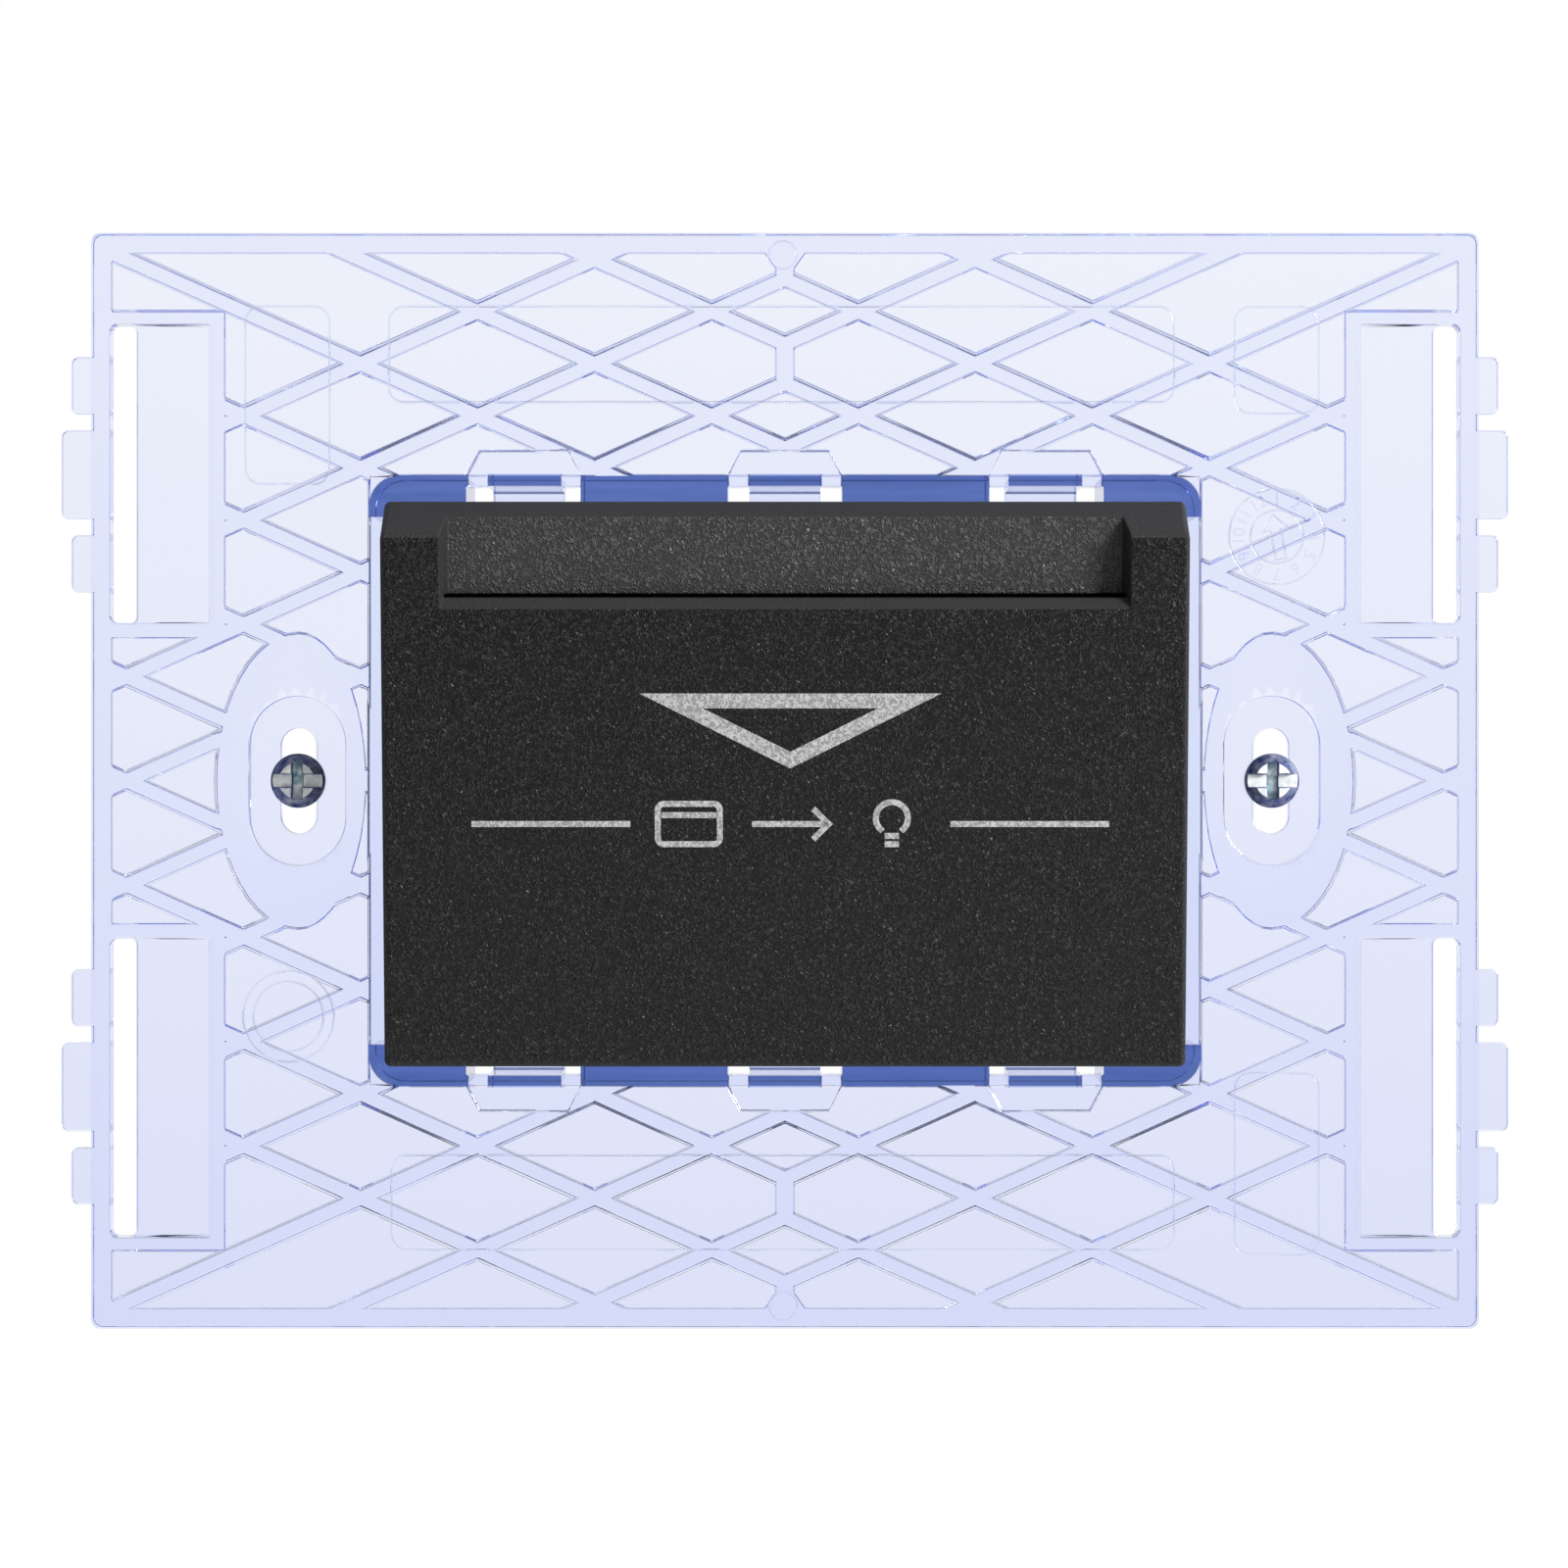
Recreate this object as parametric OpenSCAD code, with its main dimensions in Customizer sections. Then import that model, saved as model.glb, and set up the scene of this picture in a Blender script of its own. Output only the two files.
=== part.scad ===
// Hotel key card switch: a card pocket module, three modules wide, clipped into a clear support frame.
// X runs right, Z up and Y into the wall. The wall plane is y = 0 and the front faces -Y.
// The origin lies midway between the two fixing screws.

/* [Support frame] */
// Width of the frame plate
frame_w = 118.8; // [114:0.2:130]
// Height of the frame plate
frame_h = 93.8; // [88:0.2:105]
// Thickness of the frame plate
plate_t = 2.6; // [2.3:0.1:3.4]
// Radius of the plate's corners
frame_corner_r = 0.8; // [0.4:0.1:2]
// Width of the solid rim round the plate
rim_w = 1.6; // [1:0.1:2.4]
// Thickness of the web in front of each pocket
web_t = 1.1; // [0.8:0.1:1.6]
// Width of a stiffening rib at its root
rib_w = 1.5; // [1.2:0.1:2]
// Draft of the ribs' walls, in degrees
rib_draft = 6; // [3:0.5:8]
// Number of ribs of each direction, counted both ways from the first crossing
rib_count = 6; // [5:1:7]
// Half pitch of the rib lattice along the width
rib_pitch_x = 10.06; // [8:0.1:13]
// Half pitch of the rib lattice along the height
rib_pitch_z = 4.48; // [4:0.1:6]
// Distance of the first rib crossing from the middle
rib_first_x = 6.29; // [5:0.1:8]
// Distance between the fixing screws
fix_pitch = 83.5; // [82:0.1:85]

/* [Frame edge] */
// Length of a long side slot
slot_l = 25.6; // [20:0.2:30]
// Width of a long side slot
slot_w = 2.1; // [1.6:0.1:2.6]
// Radius of a side slot's corners
slot_corner_r = 0.6; // [0.3:0.1:0.8]
// Height of the middle of a side slot above the frame's middle
slot_up = 26.3; // [24:0.1:28]
// Width of the plain panel beside a side slot
panel_w = 6.4; // [5:0.1:7]
// Width of the solid border beside a plain panel
panel_border = 1.2; // [0.8:0.1:2]
// Thickness of the side tabs
tab_t = 1.2; // [0.8:0.1:2]
// Radius of the side tabs' corners
tab_corner_r = 0.6; // [0.3:0.1:0.9]
// How far a large side tab stands out
large_tab_out = 2.75; // [2:0.05:4]
// Height of a large side tab
large_tab_h = 7.6; // [6:0.1:9]
// How far a small side tab stands out
small_tab_out = 1.9; // [1:0.05:3]
// Height of a small side tab
small_tab_h = 4.9; // [4:0.1:5.5]
// Pitch from a large side tab to the small ones
tab_pitch = 7.65; // [7.2:0.05:8.4]

/* [Screw bosses] */
// Half width of a screw boss on its outer side
boss_half_w = 7.2; // [6.4:0.1:8]
// Half width of a screw boss on the window's side
boss_inner_w = 5.8; // [5:0.1:6]
// Half height of a screw boss
boss_half_h = 12.7; // [11:0.1:14]
// Depth of the dish in a screw boss
dish_depth = 0.5; // [0.3:0.1:0.7]
// Width of the screw seat
seat_w = 8.2; // [7:0.1:9]
// Height of the screw seat
seat_h = 14.5; // [12:0.1:16]
// Depth of the screw seat under the plate's front
seat_depth = 1.2; // [0.9:0.1:1.4]
// Width of the fixing slot
fix_slot_w = 3.05; // [2.8:0.05:3.6]
// Height of the fixing slot
fix_slot_h = 9.07; // [7:0.1:11]
// Clearance round the fixing screw in its slot
fix_clear = 0.075; // [0.05:0.005:0.2]
// Diameter of the fixing screw's head
fix_head_d = 4.67; // [4.2:0.05:6]
// Length of the fixing screw's shank
fix_shank_l = 9; // [8:0.5:25]
// Height of the fixing screw's thread over its plain neck
fix_thread_h = 0.25; // [0.2:0.01:0.35]

/* [Window collar] */
// Wall of the collar at the sides
collar_side = 2.8; // [2:0.1:3.2]
// Wall of the collar at the top and bottom
collar_top = 3.4; // [3:0.1:4]
// How far the collar's top and bottom reach behind the wall plane
collar_back = 10; // [8:0.2:12]
// How far the collar's sides reach behind the wall plane
collar_side_back = 1.4; // [0.6:0.1:3]
// Radius of the collar's corners
collar_corner_r = 2.6; // [1:0.1:3]
// Clearance between the housing and the window
window_clear = 0.3; // [0.2:0.05:0.4]
// Pitch of the clips, one for each module
clip_pitch = 22.4; // [21.5:0.1:23]
// Width of a clip lug
lug_w = 6.2; // [5:0.1:7]
// Width of the gap on each side of a clip lug
lug_gap = 1.8; // [1.4:0.1:2.2]
// Thickness of a clip's tongue
clip_wall = 1.0; // [0.8:0.1:1.3]
// Distance of the slits beside a clip's tongue behind the frame's front
clip_slit_in = 3; // [2.8:0.1:6]
// Height of the hood over a clip
hood_h = 2.1; // [1.4:0.1:2.6]
// Width of the hood at its narrow side
hood_w = 7.6; // [6.5:0.1:9]
// Depth of the hood's recess
hood_depth = 0.8; // [0.5:0.1:1.2]

/* [Front cover] */
// Width of the front cover
cover_w = 67.5; // [66.8:0.1:69]
// Height of the front cover
cover_h = 47.6; // [46.8:0.1:49]
// How far the cover's middle lies under the frame's middle
cover_drop = 0.3; // [0:0.1:0.5]
// How far the cover's lower edge stands in front of the frame
low_reach = 6.9; // [6.4:0.1:8]
// How far the cover's brow stands in front of the frame
brow_reach = 11.86; // [11:0.02:13]
// Height of the sloped band over the brow
brow_h = 3.1; // [2.4:0.1:3.6]
// Depth of the sloped band over the brow
brow_depth = 4.9; // [4.2:0.1:5.4]
// Radius of the cover's rounded front edges
cover_edge_r = 0.7; // [0.4:0.1:1]
// Radius of the cover's rounded side edges
side_edge_r = 0.6; // [0.3:0.1:1]
// Wall of the front cover
cover_wall = 1.6; // [1.4:0.1:1.8]

/* [Card pocket] */
// Width of the card
card_w = 54; // [53:0.1:54.4]
// Clearance on each side of the card
card_clear = 0.6; // [0.4:0.1:0.8]
// Depth of the gap that the card slides in
card_gap = 1.3; // [1.1:0.1:1.5]
// Distance of the card slot under the cover's top, along the face
slot_drop = 8.35; // [7.5:0.05:9]
// Width of the notch over the card slot, at its back
notch_w = 56.6; // [55.8:0.1:57.4]
// Draft of the notch's side walls, in degrees
notch_draft = 10; // [8:1:15]
// Lean of the notch's back wall away from the face, in degrees
notch_lean = 0; // [0:0.5:10]
// Height of the bevel on the slot's lip
lip_bevel_h = 0.85; // [0.7:0.05:1.4]
// Depth of the bevel on the slot's lip
lip_bevel_d = 1.0; // [0.7:0.1:1.2]
// Height of the dark gap at the foot of the notch
shadow_gap = 0.2; // [0.15:0.05:0.6]
// Thickness of the card guide
guide_t = 1.5; // [1.3:0.1:1.8]
// Height of the pocket's floor over the cover's lower edge
floor_up = 3; // [2.6:0.1:4]
// Radius of the guide screws
guide_screw_r = 0.95; // [0.8:0.05:1.1]

/* [Card lever] */
// Radius of the lever's pin
pin_r = 1; // [0.8:0.05:1.2]
// Running clearance of the lever on its pin
pin_clear = 0.05; // [0.03:0.01:0.08]
// Radius of the lever's hub
hub_r = 2.2; // [2:0.1:2.5]
// Height of the lever's pin over the cover's lower edge, along the face
pin_up = 32.5; // [31:0.5:33]
// Width of the lever's arm
arm_w = 10; // [9:0.5:11]
// Thickness of the lever's arm
arm_t = 1.8; // [1.5:0.1:2.2]
// Width of the lever's nose
nose_w = 8; // [6:0.5:8.5]
// Height of the nose's tip over the cover's lower edge, along the face
nose_up = 18.2; // [17.5:0.1:19]
// Full swing of the lever, in degrees
lever_swing = 5.3; // [4:0.1:5.4]
// Free space round the lever's moving faces
lever_clear = 0.3; // [0.2:0.05:0.4]
// How far the switch plunger lies under the lever's pin
plunger_down = 10; // [9:0.5:10.5]
// How far the lever's pad reaches behind its pin
pad_reach = 6.7; // [6:0.1:7.5]
// Radius of the return spring's coil, at the middle of the wire
spring_r = 2; // [1.7:0.1:2.3]
// Radius of the return spring's wire
spring_wire_r = 0.25; // [0.2:0.01:0.3]
// Turns of the return spring
spring_turns = 5; // [4:1:6]
// How far the spring's axis lies under the switch plunger
spring_down = 12.4; // [12:0.2:13]

/* [Snap switch] */
// Length of the switch case
switch_l = 27.8; // [27:0.1:30]
// Depth of the switch case along its plunger
switch_d = 15.9; // [15.4:0.1:18]
// Thickness of the switch case
switch_t = 10.3; // [9.6:0.1:12]
// Wall of the switch case
switch_wall = 1.5; // [1.2:0.1:1.7]
// Distance between the switch case's two fixing holes
switch_hole_pitch = 22.2; // [22:0.1:22.8]
// Distance of the fixing holes behind the case's front
switch_hole_in = 3.1; // [2.8:0.1:3.3]
// Radius of the pegs that carry the switch case
peg_r = 1.5; // [1.2:0.1:1.6]
// Radius of the plunger
plunger_r = 1.5; // [1.2:0.1:1.8]
// How far the plunger stands out of the case at rest
plunger_out = 1.3; // [1.2:0.1:1.6]
// Distance of the contact blade behind the case's front
blade_in = 7.1; // [7:0.1:7.4]
// Thickness of the contact blade
blade_t = 0.3; // [0.2:0.05:0.4]
// Radius of the contact rivets
contact_r = 1.4; // [1.1:0.1:1.6]
// Height of a contact rivet's head
contact_h = 0.6; // [0.5:0.05:0.7]
// Thickness of the terminal strips
strip_t = 0.8; // [0.6:0.05:0.9]
// Width of the terminal strips
strip_w = 5; // [4:0.1:5.4]

/* [Rear housing] */
// Width of the housing
body_w = 65.2; // [64.6:0.1:65.6]
// Height of the housing
body_h = 45; // [44.4:0.1:45.4]
// Wall of the housing
body_wall = 1.5; // [1.3:0.1:1.7]
// Clearance between fixed pieces that slip together
slip_clear = 0.15; // [0.1:0.01:0.2]
// Height of a latch on the housing
latch_h = 0.45; // [0.3:0.05:0.6]
// Width of the terminal box
term_w = 43; // [42:0.5:46]
// Height of the terminal box
term_h = 18; // [17:0.5:20]
// Depth of the terminal box
term_d = 11; // [10.5:0.1:13]
// Pitch of the wire clamps
clamp_pitch = 10.65; // [10.4:0.05:10.8]
// Radius of a wire entry
wire_r = 1.7; // [1.4:0.1:1.9]
// Radius of a clamp screw
clamp_screw_r = 1.4; // [1.2:0.1:1.6]
// Thickness of the rear cover
lid_t = 1.5; // [1.2:0.1:2]
// Radius of the rear cover's screws
lid_screw_r = 1.05; // [0.9:0.05:1.2]

/* [Hidden] */
$fn = 48;

// Length by which a cut or a joined piece runs past a face
over = 0.5;
// Gap between flat faces that only meet, and small gap round a press fit
touch = 0.05;
// Clearance of a pin pressed into its bore
press = 0.02;

// Places across the window
front_y = -plate_t;
window_w = body_w + 2 * window_clear;
window_h = body_h + 2 * window_clear;
collar_w = window_w + 2 * collar_side;
collar_h = window_h + 2 * collar_top;
clip_xs = [-clip_pitch, 0, clip_pitch];
clip_w = lug_w + 2 * lug_gap;
clip_top = collar_h / 2 - clip_wall;
slit_up = 0.3;

// Rib lattice
rib_angle = atan2(rib_pitch_z, rib_pitch_x);
rib_step = 2 * rib_pitch_x * sin(rib_angle);
rib_rows = ceil(frame_h / 4 / rib_pitch_z);
gate_w = 3.4;
gate_h = 1.7;

// Frame edge
inner_x = frame_w / 2 - rim_w;
panel_x = inner_x - slot_w - panel_w;
panel_web = 1.3;

// Fixing screws, with a plain neck in the frame and the thread behind the wall plane
fix_r = fix_slot_w / 2 - fix_clear;
fix_neck_r = fix_r - fix_thread_h;
fix_head_r = fix_head_d / 2;
fix_head_h = 1.7;
fix_cone_h = 1;
fix_disc_r = fix_head_r - 0.8 * fix_cone_h;
seat_y = front_y + seat_depth;
drive_slot_w = 1.16;
drive_slot_d = 0.77;
drive_cross_w = 0.94;
drive_cross_l = 3.2;
drive_cross_d = 1.28;

// Front cover, with w counted behind its face and v up along its face
cover_z0 = -cover_drop - cover_h / 2;
cover_z1 = -cover_drop + cover_h / 2;
brow_z = cover_z1 - brow_h;
face_y0 = front_y - low_reach;
brow_y = front_y - brow_reach;
tilt = atan2(brow_reach - low_reach, brow_z - cover_z0);
slot_v = (cover_h - slot_drop) / cos(tilt);
pocket_w = cover_wall + card_gap;
guide_back = pocket_w + guide_t;
guide_under = 0.6;
guide_top = slot_v - guide_under;
card_half = card_w / 2 + card_clear;
cover_half = cover_w / 2 - cover_wall;
far = 15;
flange_t = 1.5;
spigot_l = 6;
spigot_wall = 1.2;
spigot_w = body_w - 2 * body_wall - 2 * slip_clear;
spigot_h = body_h - 2 * body_wall - 2 * slip_clear;
hook_z = 12;
hook_l = 6;
hook_h = 0.8;
hook_in = 3.6;
hook_y = front_y + hook_in;
hook_d = 1.6;

// Guide screws
guide_screw_x = (card_half + cover_half) / 2;
guide_screw_over_floor = 4;
guide_screw_under_top = 4.5;
guide_screw_vs = [floor_up + guide_screw_over_floor, guide_top - guide_screw_under_top];
guide_head_r = 2 * guide_screw_r;
guide_head_h = 1.2;
guide_skin = 0.8;

// Card lever
hub_gap = 1;
pin_w = guide_back + hub_r + hub_gap;
pin_y = face_y0 + pin_w * cos(tilt) - pin_up * sin(tilt);
pin_z = cover_z0 + pin_w * sin(tilt) + pin_up * cos(tilt);
hub_side = 1;
hub_l = arm_w + 2 * hub_side;
ear_t = 2;
ear_x = hub_l / 2 + lever_clear;
pin_end = 0.2;
pin_half = ear_x + ear_t + pin_end;
arm_w0 = guide_back + 2.5 * lever_clear;
arm_tail = 2;
arm_foot = pin_up - plunger_down - spring_down - spring_r - arm_tail;
nose_tip = cover_wall + lever_clear / 2;
nose_flat = 0.6;
nose_fall = 1.6;
nose_rise = 4.6;
nose_low = nose_up - nose_fall;
nose_high = nose_up + nose_rise;
nose_window_low = nose_low - 3 * lever_clear;
nose_window_high = nose_high + 2 * lever_clear;
shoulder_side = 2.2;
shoulder_w = nose_w + 2 * shoulder_side;
shoulder_in = 1;
pad_y = pin_y + pad_reach;
pad_size = 4.4;
plunger_z = pin_z - plunger_down;
spring_z = plunger_z - spring_down;
spring_seat_reach = 2.4;
spring_seat_y = pin_y + spring_seat_reach;
spring_seat_rim = 0.4;
spring_seat_r = spring_r + spring_wire_r + spring_seat_rim;
pilot_clear = 0.35;
pilot_r = spring_r - spring_wire_r - pilot_clear;
pilot_l = 1.2;

// Snap switch, with its length along X and its plunger along Y
plunger_y = pad_y + lever_clear / 2;
case_y0 = plunger_y + plunger_out;
case_y1 = case_y0 + switch_d;
case_z0 = plunger_z - switch_t / 2;
case_z1 = plunger_z + switch_t / 2;
lid_z = case_z1 - switch_wall;
peg_x = switch_hole_pitch / 2;
peg_y = case_y0 + switch_hole_in;
peg_clear = 0.05;
peg_wall = 1.2;
peg_end = 1.6;
corner_side = 0.4;
corner_behind = 0.3;
corner_x = peg_x - peg_r - corner_side;
corner_y = peg_y + peg_r + corner_behind;
washer_w = 1.2;
washer_t = 0.5;
plunger_stem_r = 0.8;
plunger_flange_w = 0.6;
plunger_flange_r = plunger_r + plunger_flange_w;
plunger_flange_h = 1;
blade_y = case_y0 + blade_in;
blade_mid = blade_y + blade_t / 2;
blade_w = 3.6;
blade_tip = 0.4;
terminal_mid_x = 1.15;
terminal_xs = [for (i = [-1, 0, 1]) terminal_mid_x + i * clamp_pitch];
eye_x = terminal_xs[0];
eye_wall = 0.4;
bead_r = 0.6;
eye_r = bead_r + pin_clear + eye_wall;
neck_t = 0.6;
contact_x = 9;
swing_ratio = 1.05;
plunger_gap = 0.2;
plunger_travel = swing_ratio * plunger_down * lever_swing * PI / 180;
blade_swing = plunger_travel / -eye_x;
break_face_y = blade_y - contact_h - touch;
make_gap = 0.15;
make_face_y = blade_y + blade_t + contact_h + (contact_x + contact_r - eye_x) * blade_swing + make_gap;
rivet_shank_r = contact_r * 0.55;

// Rear housing
case_back_gap = 0.1;
wall_y0 = case_y1 + case_back_gap;
wall_y1 = wall_y0 + body_wall;
term_y1 = wall_y1 + term_d;
term_z0 = plunger_z - term_h / 2;
term_z1 = plunger_z + term_h / 2;
shelf_t = 2;
shelf_side = 1;
shelf_l = switch_l + 2 * shelf_side;
lip_t = 1.5;
lip_under = 1;
lip_drop = spring_z - spring_seat_r - lip_under;
latch_y = 4.6;
latch_l = 1.7;
latch_side = 0.6;
lug_play = 0.2;
lug_y = latch_y + latch_l + lug_play;
lid_boss_wall = 1.1;
lid_boss_r = lid_screw_r + lid_boss_wall;
lid_boss_x = term_w / 2 - body_wall - 0.7 * lid_boss_r;
lid_hole_l = 8;
lid_head_r = 2 * lid_screw_r;
lid_head_h = 1.4;
lid_lip = 1;
divider_t = 1.2;

// Wire clamps
clamp_w = 6.8;
clamp_h = 9;
clamp_front_gap = 1;
clamp_back_gap = 1.5;
clamp_y0 = wall_y1 + clamp_front_gap;
clamp_y1 = term_y1 - clamp_back_gap;
strip_in = 3.6;
strip_end = clamp_y0 + strip_in;
clamp_screw_y = (strip_end + clamp_y1) / 2;
clamp_head_rim = 0.8;
clamp_head_r = clamp_screw_r + clamp_head_rim;
clamp_head_h = 1.5;
clamp_head_up = 1;
driver_clear = 0.2;
driver_r = clamp_head_r + driver_clear;

echo(pin = [0, pin_y, pin_z], eye = [eye_x, blade_mid, plunger_z],
     plunger_ratio = plunger_travel / (lever_swing * PI / 180), blade_deg = blade_swing * 180 / PI,
     blade_ratio = blade_swing / (lever_swing * PI / 180));

// Prism of an outline in X and Z, from y0 to y1
module along_y(y0, y1) {
    translate([0, y1, 0]) rotate([90, 0, 0]) linear_extrude(height = y1 - y0) children();
}

// Prism of an outline in Y and Z, from x0 to x1
module along_x(x0, x1) {
    translate([x0, 0, 0]) rotate([90, 0, 90]) linear_extrude(height = x1 - x0) children();
}

// Round bar along Y
module rod_y(x, z, r, y0, y1) {
    translate([x, y0, z]) rotate([-90, 0, 0]) cylinder(r = r, h = y1 - y0);
}

// Round bar along X
module rod_x(y, z, r, x0, x1) {
    translate([x0, y, z]) rotate([0, 90, 0]) cylinder(r = r, h = x1 - x0);
}

// Round bar along Z
module rod_z(x, y, r, z0, z1) {
    translate([x, y, z0]) cylinder(r = r, h = z1 - z0);
}

// Block between two corners
module block(low, high) {
    translate(low) cube(high - low);
}

// Places its children in the frame of the cover's tilted face, y behind the face and z up along it
module on_face() {
    translate([0, face_y0, cover_z0]) rotate([tilt, 0, 0]) children();
}

function unit(v) = v / norm(v);

// Points of the arc that rounds the corner c between the points p and n
function rounded(p, c, n, r, steps = 5) =
    let (a = unit(p - c), b = unit(n - c), half = acos(a * b) / 2)
    let (mid = c + unit(a + b) * r / sin(half), from = c + a * r / tan(half), to = c + b * r / tan(half))
    [for (i = [0:steps]) mid + r * unit((from - mid) * (1 - i / steps) + (to - mid) * i / steps)];

// Rectangle with rounded corners about the origin
module rounded_rectangle(w, h, r) {
    square([w - 2 * r, h], center = true);
    square([w, h - 2 * r], center = true);
    for (sx = [-1, 1], sz = [-1, 1]) translate([sx * (w / 2 - r), sz * (h / 2 - r)]) circle(r = r);
}

// Slot shape with round ends, standing along Z
module stadium(w, h) {
    square([w, h - w], center = true);
    for (s = [-1, 1]) translate([0, s * (h - w) / 2]) circle(r = w / 2);
}

// Gap between two ribs along X, with drafted walls; low and high are the ribs' middle lines
module rib_gap(low, high) {
    floor_y = front_y + web_t;
    grow = (over - floor_y) * tan(rib_draft);
    along_x(-frame_w, frame_w)
        polygon([[floor_y, low + rib_w / 2], [floor_y, high - rib_w / 2],
                 [over, high - rib_w / 2 + grow], [over, low + rib_w / 2 - grow]]);
}

// All gaps between the ribs that fall to the right; the first and the last one reach past the frame
module rib_gaps() {
    translate([rib_first_x, 0, 0]) rotate([0, rib_angle, 0]) {
        for (i = [1 - rib_count:rib_count - 1]) rib_gap((i - 0.5) * rib_step, (i + 0.5) * rib_step);
        for (flip = [0, 1]) mirror([0, 0, flip]) rib_gap((rib_count - 0.5) * rib_step, frame_w);
    }
}

module hood_outline() {
    polygon([[-clip_w / 2, 0], [clip_w / 2, 0], [hood_w / 2, hood_h], [-hood_w / 2, hood_h]]);
}

module at_each_clip() {
    for (x = clip_xs, flip = [0, 1]) mirror([0, 0, flip]) translate([x, 0, 0]) children();
}

// Where pockets may lie: inside the rim and clear of the collar, bosses, hoods, plain panels and middle ribs
module pocket_field() {
    difference() {
        square([2 * inner_x, frame_h - 2 * rim_w], center = true);
        square([collar_w, collar_h], center = true);
        for (side = [0, 1]) mirror([side, 0]) translate([fix_pitch / 2, 0])
            polygon([for (a = [0:7.5:352.5])
                [(cos(a) > 0 ? boss_half_w : boss_inner_w) * cos(a), boss_half_h * sin(a)]]);
        for (x = clip_xs, flip = [0, 1]) mirror([0, flip]) translate([x, collar_h / 2]) hood_outline();
        for (sx = [0, 1], sz = [0, 1]) mirror([sx, 0]) mirror([0, sz])
            translate([panel_x - panel_border, slot_up - slot_l / 2 - panel_border])
                square([inner_x - panel_x + panel_border + over, slot_l + 2 * panel_border]);
        for (flip = [0, 1]) mirror([0, flip]) translate([0, frame_h / 2 - rim_w])
            polygon([[-gate_w / 2, over], [gate_w / 2, over], [gate_w / 2, 0], [rib_w / 3, -gate_h],
                     [-rib_w / 3, -gate_h], [-gate_w / 2, 0]]);
        for (row = [-rib_rows:rib_rows]) translate([0, 2 * row * rib_pitch_z])
            square([rib_w, rib_pitch_z], center = true);
    }
}

// Pockets of the rib lattice, which is the same on both sides of the middle
module pockets() {
    intersection() {
        along_y(front_y, 2 * over) pocket_field();
        for (side = [0, 1]) mirror([side, 0, 0]) intersection() {
            rib_gaps();
            mirror([0, 0, 1]) rib_gaps();
            block([0, front_y, -frame_h], [frame_w, 2 * over, frame_h]);
        }
    }
}

// Long slot and plain panel at the upper right of the frame
module edge_cut() {
    translate([inner_x - slot_w / 2, 0, slot_up]) along_y(front_y - over, over)
        rounded_rectangle(slot_w, slot_l, slot_corner_r);
    block([panel_x, front_y - over, slot_up - slot_l / 2],
          [inner_x - slot_w / 2, -panel_web, slot_up + slot_l / 2]);
}

// Side tab that grows out of the frame's right edge at the height z
module edge_tab(z, out, h) {
    translate([frame_w / 2, 0, z]) along_y(-tab_t, 0) rounded_rectangle(2 * out, h, tab_corner_r);
}

// Side tabs at the upper right of the frame
module edge_tabs() {
    edge_tab(slot_up, large_tab_out, large_tab_h);
    for (s = [-1, 1]) edge_tab(slot_up + s * tab_pitch, small_tab_out, small_tab_h);
}

// Dish of a screw boss: the outer side of a wide ring just dips into the plate's front
module boss_dish() {
    small_r = boss_half_w * boss_half_w / 2 / dish_depth;
    large_r = boss_half_h * boss_half_h / 2 / dish_depth;
    translate([0, front_y + dish_depth - large_r, 0]) rotate([0, 90, 0])
        rotate_extrude($fn = 96) intersection() {
            translate([large_r - small_r, 0]) circle(r = small_r, $fn = 96);
            translate([large_r - 2 * dish_depth, -1.5 * boss_half_w]) square([far, 3 * boss_half_w]);
        }
}

module boss_cut() {
    boss_dish();
    along_y(front_y - over, seat_y) stadium(seat_w, seat_h);
    along_y(front_y - over, over) stadium(fix_slot_w, fix_slot_h);
}

// Upper clip: an opening through the collar with a slit on each side of the tongue, and the hood's recess
module clip_cut() {
    block([-clip_w / 2, front_y - over, window_h / 2 - over], [clip_w / 2, collar_back + over, clip_top]);
    for (side = [0, 1]) mirror([side, 0, 0])
        block([lug_w / 2, front_y + clip_slit_in, clip_top - over],
              [clip_w / 2, collar_back + over, collar_h / 2 + slit_up]);
    translate([0, 0, collar_h / 2]) along_y(front_y - over, front_y + hood_depth) hood_outline();
}

module clip_lug() {
    block([-lug_w / 2, lug_y, body_h / 2 + slip_clear], [lug_w / 2, collar_back, clip_top + clip_wall / 2]);
}

module support_frame() {
    color([0.8, 0.84, 0.97, 0.5]) {
        difference() {
            union() {
                along_y(front_y, 0) rounded_rectangle(frame_w, frame_h, frame_corner_r);
                along_y(front_y, collar_side_back) rounded_rectangle(collar_w, collar_h, collar_corner_r);
                along_y(front_y, collar_back) difference() {
                    rounded_rectangle(collar_w, collar_h, collar_corner_r);
                    square([collar_w + over, window_h], center = true);
                }
                for (sx = [0, 1], sz = [0, 1]) mirror([sx, 0, 0]) mirror([0, 0, sz]) edge_tabs();
            }
            along_y(front_y - over, collar_back + over) square([window_w, window_h], center = true);
            pockets();
            for (sx = [0, 1], sz = [0, 1]) mirror([sx, 0, 0]) mirror([0, 0, sz]) edge_cut();
            for (s = [-1, 1]) translate([s * fix_pitch / 2, 0, 0]) boss_cut();
            at_each_clip() clip_cut();
        }
        at_each_clip() clip_lug();
    }
}

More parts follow.
